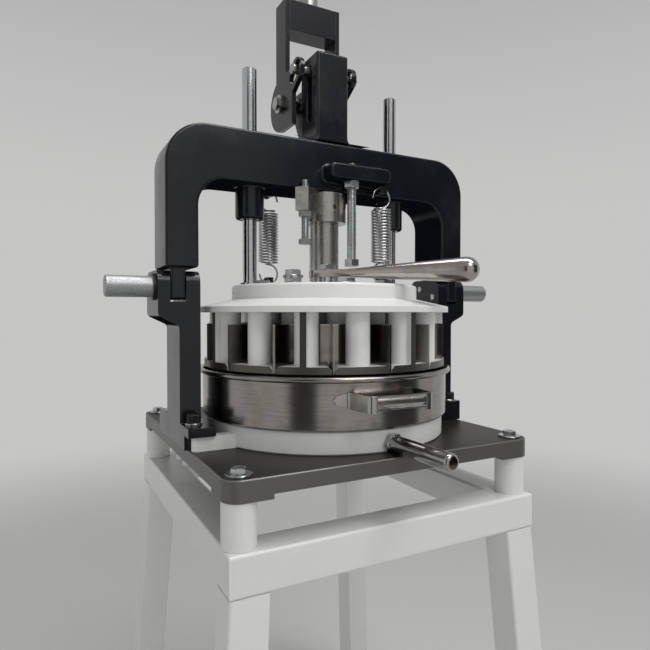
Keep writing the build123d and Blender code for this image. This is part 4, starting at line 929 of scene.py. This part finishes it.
def foldedStrap(turn, side, look):
    wall = look["wall"] / math.cos(math.radians(look["tab"] / 2))
    front = look["gripReach"] + look["grip"] + look["fit"]
    end = side * (look["half"] + look["fit"])
    foot, tab = turn + side * look["foot"], turn + side * (look["foot"] + look["tab"])
    path = [
        handleSpot(wall, tab), handleSpot(wall, foot), handleSpot(front, turn, end),
        handleSpot(front, turn, end - side * look["lap"]),
    ]
    half = Vector((0, 0, look["tall"] / 2 * mm))
    bm = bmesh.new()
    edge = bm.edges.new([bm.verts.new(path[0] - half), bm.verts.new(path[0] + half)])
    folds = []
    for here, after in zip(path, path[1:]):
        folds.append(edge)
        verts = only(bmesh.types.BMVert, bmesh.ops.extrude_edge_only(bm, edges=[edge])["geom"])
        bmesh.ops.translate(bm, vec=after - here, verts=verts)
        edge = bm.edges.get(verts)
    tip = folds[0].verts[:]
    bmesh.ops.scale(bm, vec=(1, 1, look["tipShare"]), verts=tip, space=Matrix.Translation(-path[0]))
    bmesh.ops.bevel(
        bm, geom=folds[1:], offset=look["fold"] * mm, segments=look["foldSteps"], profile=0.5,
        affect="EDGES", material=-1,
    )
    outward(bm)
    flat = min(bm.faces, key=lambda face: (face.calc_center_median() - path[0]).length)
    if flat.normal.dot(handleSpot(wall, turn) - handleSpot(0, turn)) > 0:
        bmesh.ops.reverse_faces(bm, faces=bm.faces)
    bmesh.ops.solidify(bm, geom=bm.faces[:], thickness=look["thick"] * mm)
    return outward(bm)


def handleGrip(turn, look):
    half, radius, ease = look["half"], look["grip"], look["gripEase"]
    bm = turned([
        (0, -half), (radius - ease, -half), (radius, ease - half), (radius, half - ease),
        (radius - ease, half), (0, half),
    ])
    lie = Matrix.Rotation(math.radians(turn), 4, "Z") @ Matrix.Rotation(-math.pi / 2, 4, "X")
    return moved(bm, Matrix.Translation(handleSpot(look["gripReach"], turn)) @ lie)


def tabEar(turn, look):
    radius, side, top = look["ear"], look["earSide"], look["earTop"]
    bm = turned([(0, 0), (radius, 0), (radius, side), (radius - look["earEase"], top), (0, top)])
    stand = Matrix.Rotation(math.radians(turn), 4, "Z") @ Matrix.Rotation(math.pi / 2, 4, "Y")
    return moved(bm, Matrix.Translation(handleSpot(look["wall"], turn)) @ stand)


bm = bmesh.new()
for turn in handleLook["turns"]:
    stamp(bm, handleGrip(turn, handleLook))
    for side in (-1, 1):
        stamp(bm, foldedStrap(turn, side, handleLook))
        stamp(bm, tabEar(turn + side * (handleLook["foot"] + handleLook["tab"]), handleLook))
handles = addPiece(
    "panHandles", bm, "pan_group", "pan_steel", "pan_handle_straps", "pan_handle_grips", finish="handles",
)
easeEdges(handles, *handleLook["ease"])
print("pan handles set")

# Lock pins of the cross rods, their bright ends spread wider than the drilled shanks
pinLook = {"spread": (1.55, 1, 1.55), "merge": 2e-6}
bm = bmesh.new()
bm.from_mesh(nodes["rod_lock_pins"].data)
bmesh.ops.remove_doubles(bm, verts=bm.verts, dist=pinLook["merge"])
waiting = set(bm.verts)
while waiting:
    pin = [waiting.pop()]
    for vert in pin:  # the list grows until the whole pin is in it
        near = [edge.other_vert(vert) for edge in vert.link_edges]
        fresh = [other for other in near if other in waiting]
        waiting.difference_update(fresh)
        pin.extend(fresh)
    lows = Vector([min(vert.co[axis] for vert in pin) for axis in range(3)])
    highs = Vector([max(vert.co[axis] for vert in pin) for axis in range(3)])
    aside = Matrix.Translation(-(lows + highs) / 2)
    bmesh.ops.scale(bm, vec=pinLook["spread"], verts=pin, space=aside)
addPiece("rodLockPins", bm, "frame", "polished_steel", "rod_lock_pins", finish="zinc_steel")

# Ribbed rubber grip with a closed end, pulled over the top of the lever tube
gripLook = {
    "ribs": 14, "depth": 1.1, "ribShape": ((0.0, 0), (0.2, 1), (0.5, 1), (0.7, 0)), "end": 3.0, "crown": 0.3,
    "bore": 17.05, "cap": 3.5, "steps": 48,
}
gripLow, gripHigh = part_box("lever_grip")
radius = (gripHigh.x - gripLow.x) / 2 / mm
length = (gripHigh.z - gripLow.z) / mm
bore, end = gripLook["bore"], gripLook["end"]
capLow = length - gripLook["cap"]
ribStep = (length - 4 * end) / gripLook["ribs"]
profile = [(0, capLow), (bore, capLow), (bore, 0), (radius - end, 0), (radius, end)]
for rib in range(gripLook["ribs"]):
    for share, drop in gripLook["ribShape"]:
        profile.append((radius - drop * gripLook["depth"], 2 * end + (rib + share) * ribStep))
crown = end * gripLook["crown"]
profile += [(radius, length - end), (radius - crown, length - crown), (radius - end, length), (0, length)]
bm = turned(profile, steps=gripLook["steps"])
gripPlace = ((gripLow.x + gripHigh.x) / 2, (gripLow.y + gripHigh.y) / 2, gripLow.z)
bmesh.ops.translate(bm, vec=gripPlace, verts=bm.verts)
addPiece("ribbedGrip", bm, "main_lever", "black_rubber", "lever_grip")

# Cushioned feet with a groove round the middle
cushionLook = {
    "radius": 29, "steps": 48,
    "profile": (
        (0, 0), (26.5, 0), (28.2, 0.8), (29, 2.6), (29, 6.0), (28.2, 7.0), (28.2, 8.6), (29, 9.6), (29, 15.5),
        (28.2, 17.2), (26.5, 18), (0, 18),
    ),
}
footLow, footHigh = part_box("rubber_feet")
radius = cushionLook["radius"] * mm
places = [
    (x / mm, (y - axisY) / mm, -plateTop / mm)
    for x in (footLow.x + radius, footHigh.x - radius)
    for y in (footLow.y + radius, footHigh.y - radius)
]
bm = bmesh.new()
stamp(bm, turned(cushionLook["profile"], steps=cushionLook["steps"]), places)
addPiece("cushionFeet", bm, "frame", "black_rubber", "rubber_feet")
print("small pieces set")

# Studio: pale floor that fades into the surround, a front panel, a top strip and two dark flags for the metals
surround = {"back": (0.56, 0.56, 0.555), "above": (0.34, 0.34, 0.345), "climb": (0.15, 0.8)}
floorLook = {
    "colour": (0.60, 0.60, 0.59), "speckled": (0.56, 0.56, 0.55), "speckle": (3, 4), "speckleShare": 0.2,
    "rough": 0.9, "radius": 14, "segments": 96, "fade": (1.3, 3.2),
}


def addPanel(name, bm, material):
    mesh = bpy.data.meshes.new(name)
    bm.to_mesh(mesh)
    bm.free()
    mesh.materials.append(material)
    panel = bpy.data.objects.new(name, mesh)
    scene.collection.objects.link(panel)
    return panel


material, shader, place = startFinish("floorPaint", {"Roughness": floorLook["rough"]})
speckle = noise(place, *floorLook["speckle"]) * floorLook["speckleShare"]
mixed(speckle, floorLook["colour"], floorLook["speckled"]).into(shader.inputs["Base Color"])
glow = place.add("Emission", None, {"Color": (*surround["back"], 1), "Strength": 1.0})
overlay(shader, rise(lengthOf(place), *floorLook["fade"]), glow)
bm = bmesh.new()
bmesh.ops.create_circle(bm, cap_ends=True, radius=floorLook["radius"], segments=floorLook["segments"])
floor = addPanel("floor", bm, material)

world = bpy.data.worlds.new("studio")
world.use_nodes = True
scene.world = world
backdrop = world.node_tree.nodes["Background"]
toward = Strand(world.node_tree).add("TexCoord", output="Generated")
climb = rise(heightOf(toward), *surround["climb"])
mixed(climb, surround["back"], surround["above"]).into(backdrop.inputs["Color"])
backdrop.inputs["Strength"].default_value = 1.0

# Dark cloth panels in front, which only the polished metals show
flagLook = {
    "panels": ((-48, 1.9), (-135, 1.05)), "tall": 2.3, "away": 2.6, "rough": 0.95,
    "dark": (0.03, 0.03, 0.03), "light": (0.05, 0.05, 0.05), "weave": (40, 3),
}
material, shader, place = startFinish("flagCloth", {"Roughness": flagLook["rough"]})
weave = noise(place, *flagLook["weave"])
mixed(weave, flagLook["dark"], flagLook["light"]).into(shader.inputs["Base Color"])
upright = Matrix.Rotation(math.pi / 2, 4, "Y")
stand = Matrix.Translation((flagLook["away"], 0, flagLook["tall"] / 2)) @ upright
for turn, width in flagLook["panels"]:
    bm = bmesh.new()
    bmesh.ops.create_grid(bm, x_segments=1, y_segments=1, size=0.5)
    size = Matrix.Diagonal((flagLook["tall"], width, 1, 1))
    moved(bm, Matrix.Rotation(math.radians(turn), 4, "Z") @ stand @ size)
    flag = addPanel("flag", bm, material)
    flag.visible_camera = False
    flag.visible_diffuse = False
    flag.visible_shadow = False

lampLook = {
    "frontPanel": {"place": (0.0, -2.4, 2.9), "size": (1.0, 1.0), "power": 18},
    "topStrip": {"place": (0.3, -0.5, 3.1), "size": (0.5, 2.6), "power": 35},
}
lampAim = Vector((0, 0, 0.9))
for name, look in lampLook.items():
    lampData = bpy.data.lights.new(name, "AREA")
    lampData.shape = "RECTANGLE"
    lampData.size, lampData.size_y = look["size"]
    lampData.energy = look["power"]
    lamp = bpy.data.objects.new(name, lampData)
    lamp.location = look["place"]
    lamp.rotation_euler = (lampAim - lamp.location).to_track_quat("-Z", "Y").to_euler()
    scene.collection.objects.link(lamp)

# The camera's place is measured from the press axis at the plate's top
cameraLook = {"place": (-0.4249, -0.8055, 0.1874), "turn": 27.91, "dip": 1.2, "lens": 30.57, "sensor": 36}
cameraData = bpy.data.cameras.new("photoCamera")
cameraData.sensor_width = cameraLook["sensor"]
cameraData.lens = cameraLook["lens"]
camera = bpy.data.objects.new("photoCamera", cameraData)
turn = math.radians(cameraLook["turn"])
dip = math.radians(cameraLook["dip"])
forward = Vector((math.sin(turn) * math.cos(dip), math.cos(turn) * math.cos(dip), -math.sin(dip)))
camera.location = Vector(cameraLook["place"]) + Vector((0, axisY, plateTop))
camera.rotation_euler = forward.to_track_quat("-Z", "Y").to_euler()
scene.collection.objects.link(camera)
scene.camera = camera

print("scene ready")
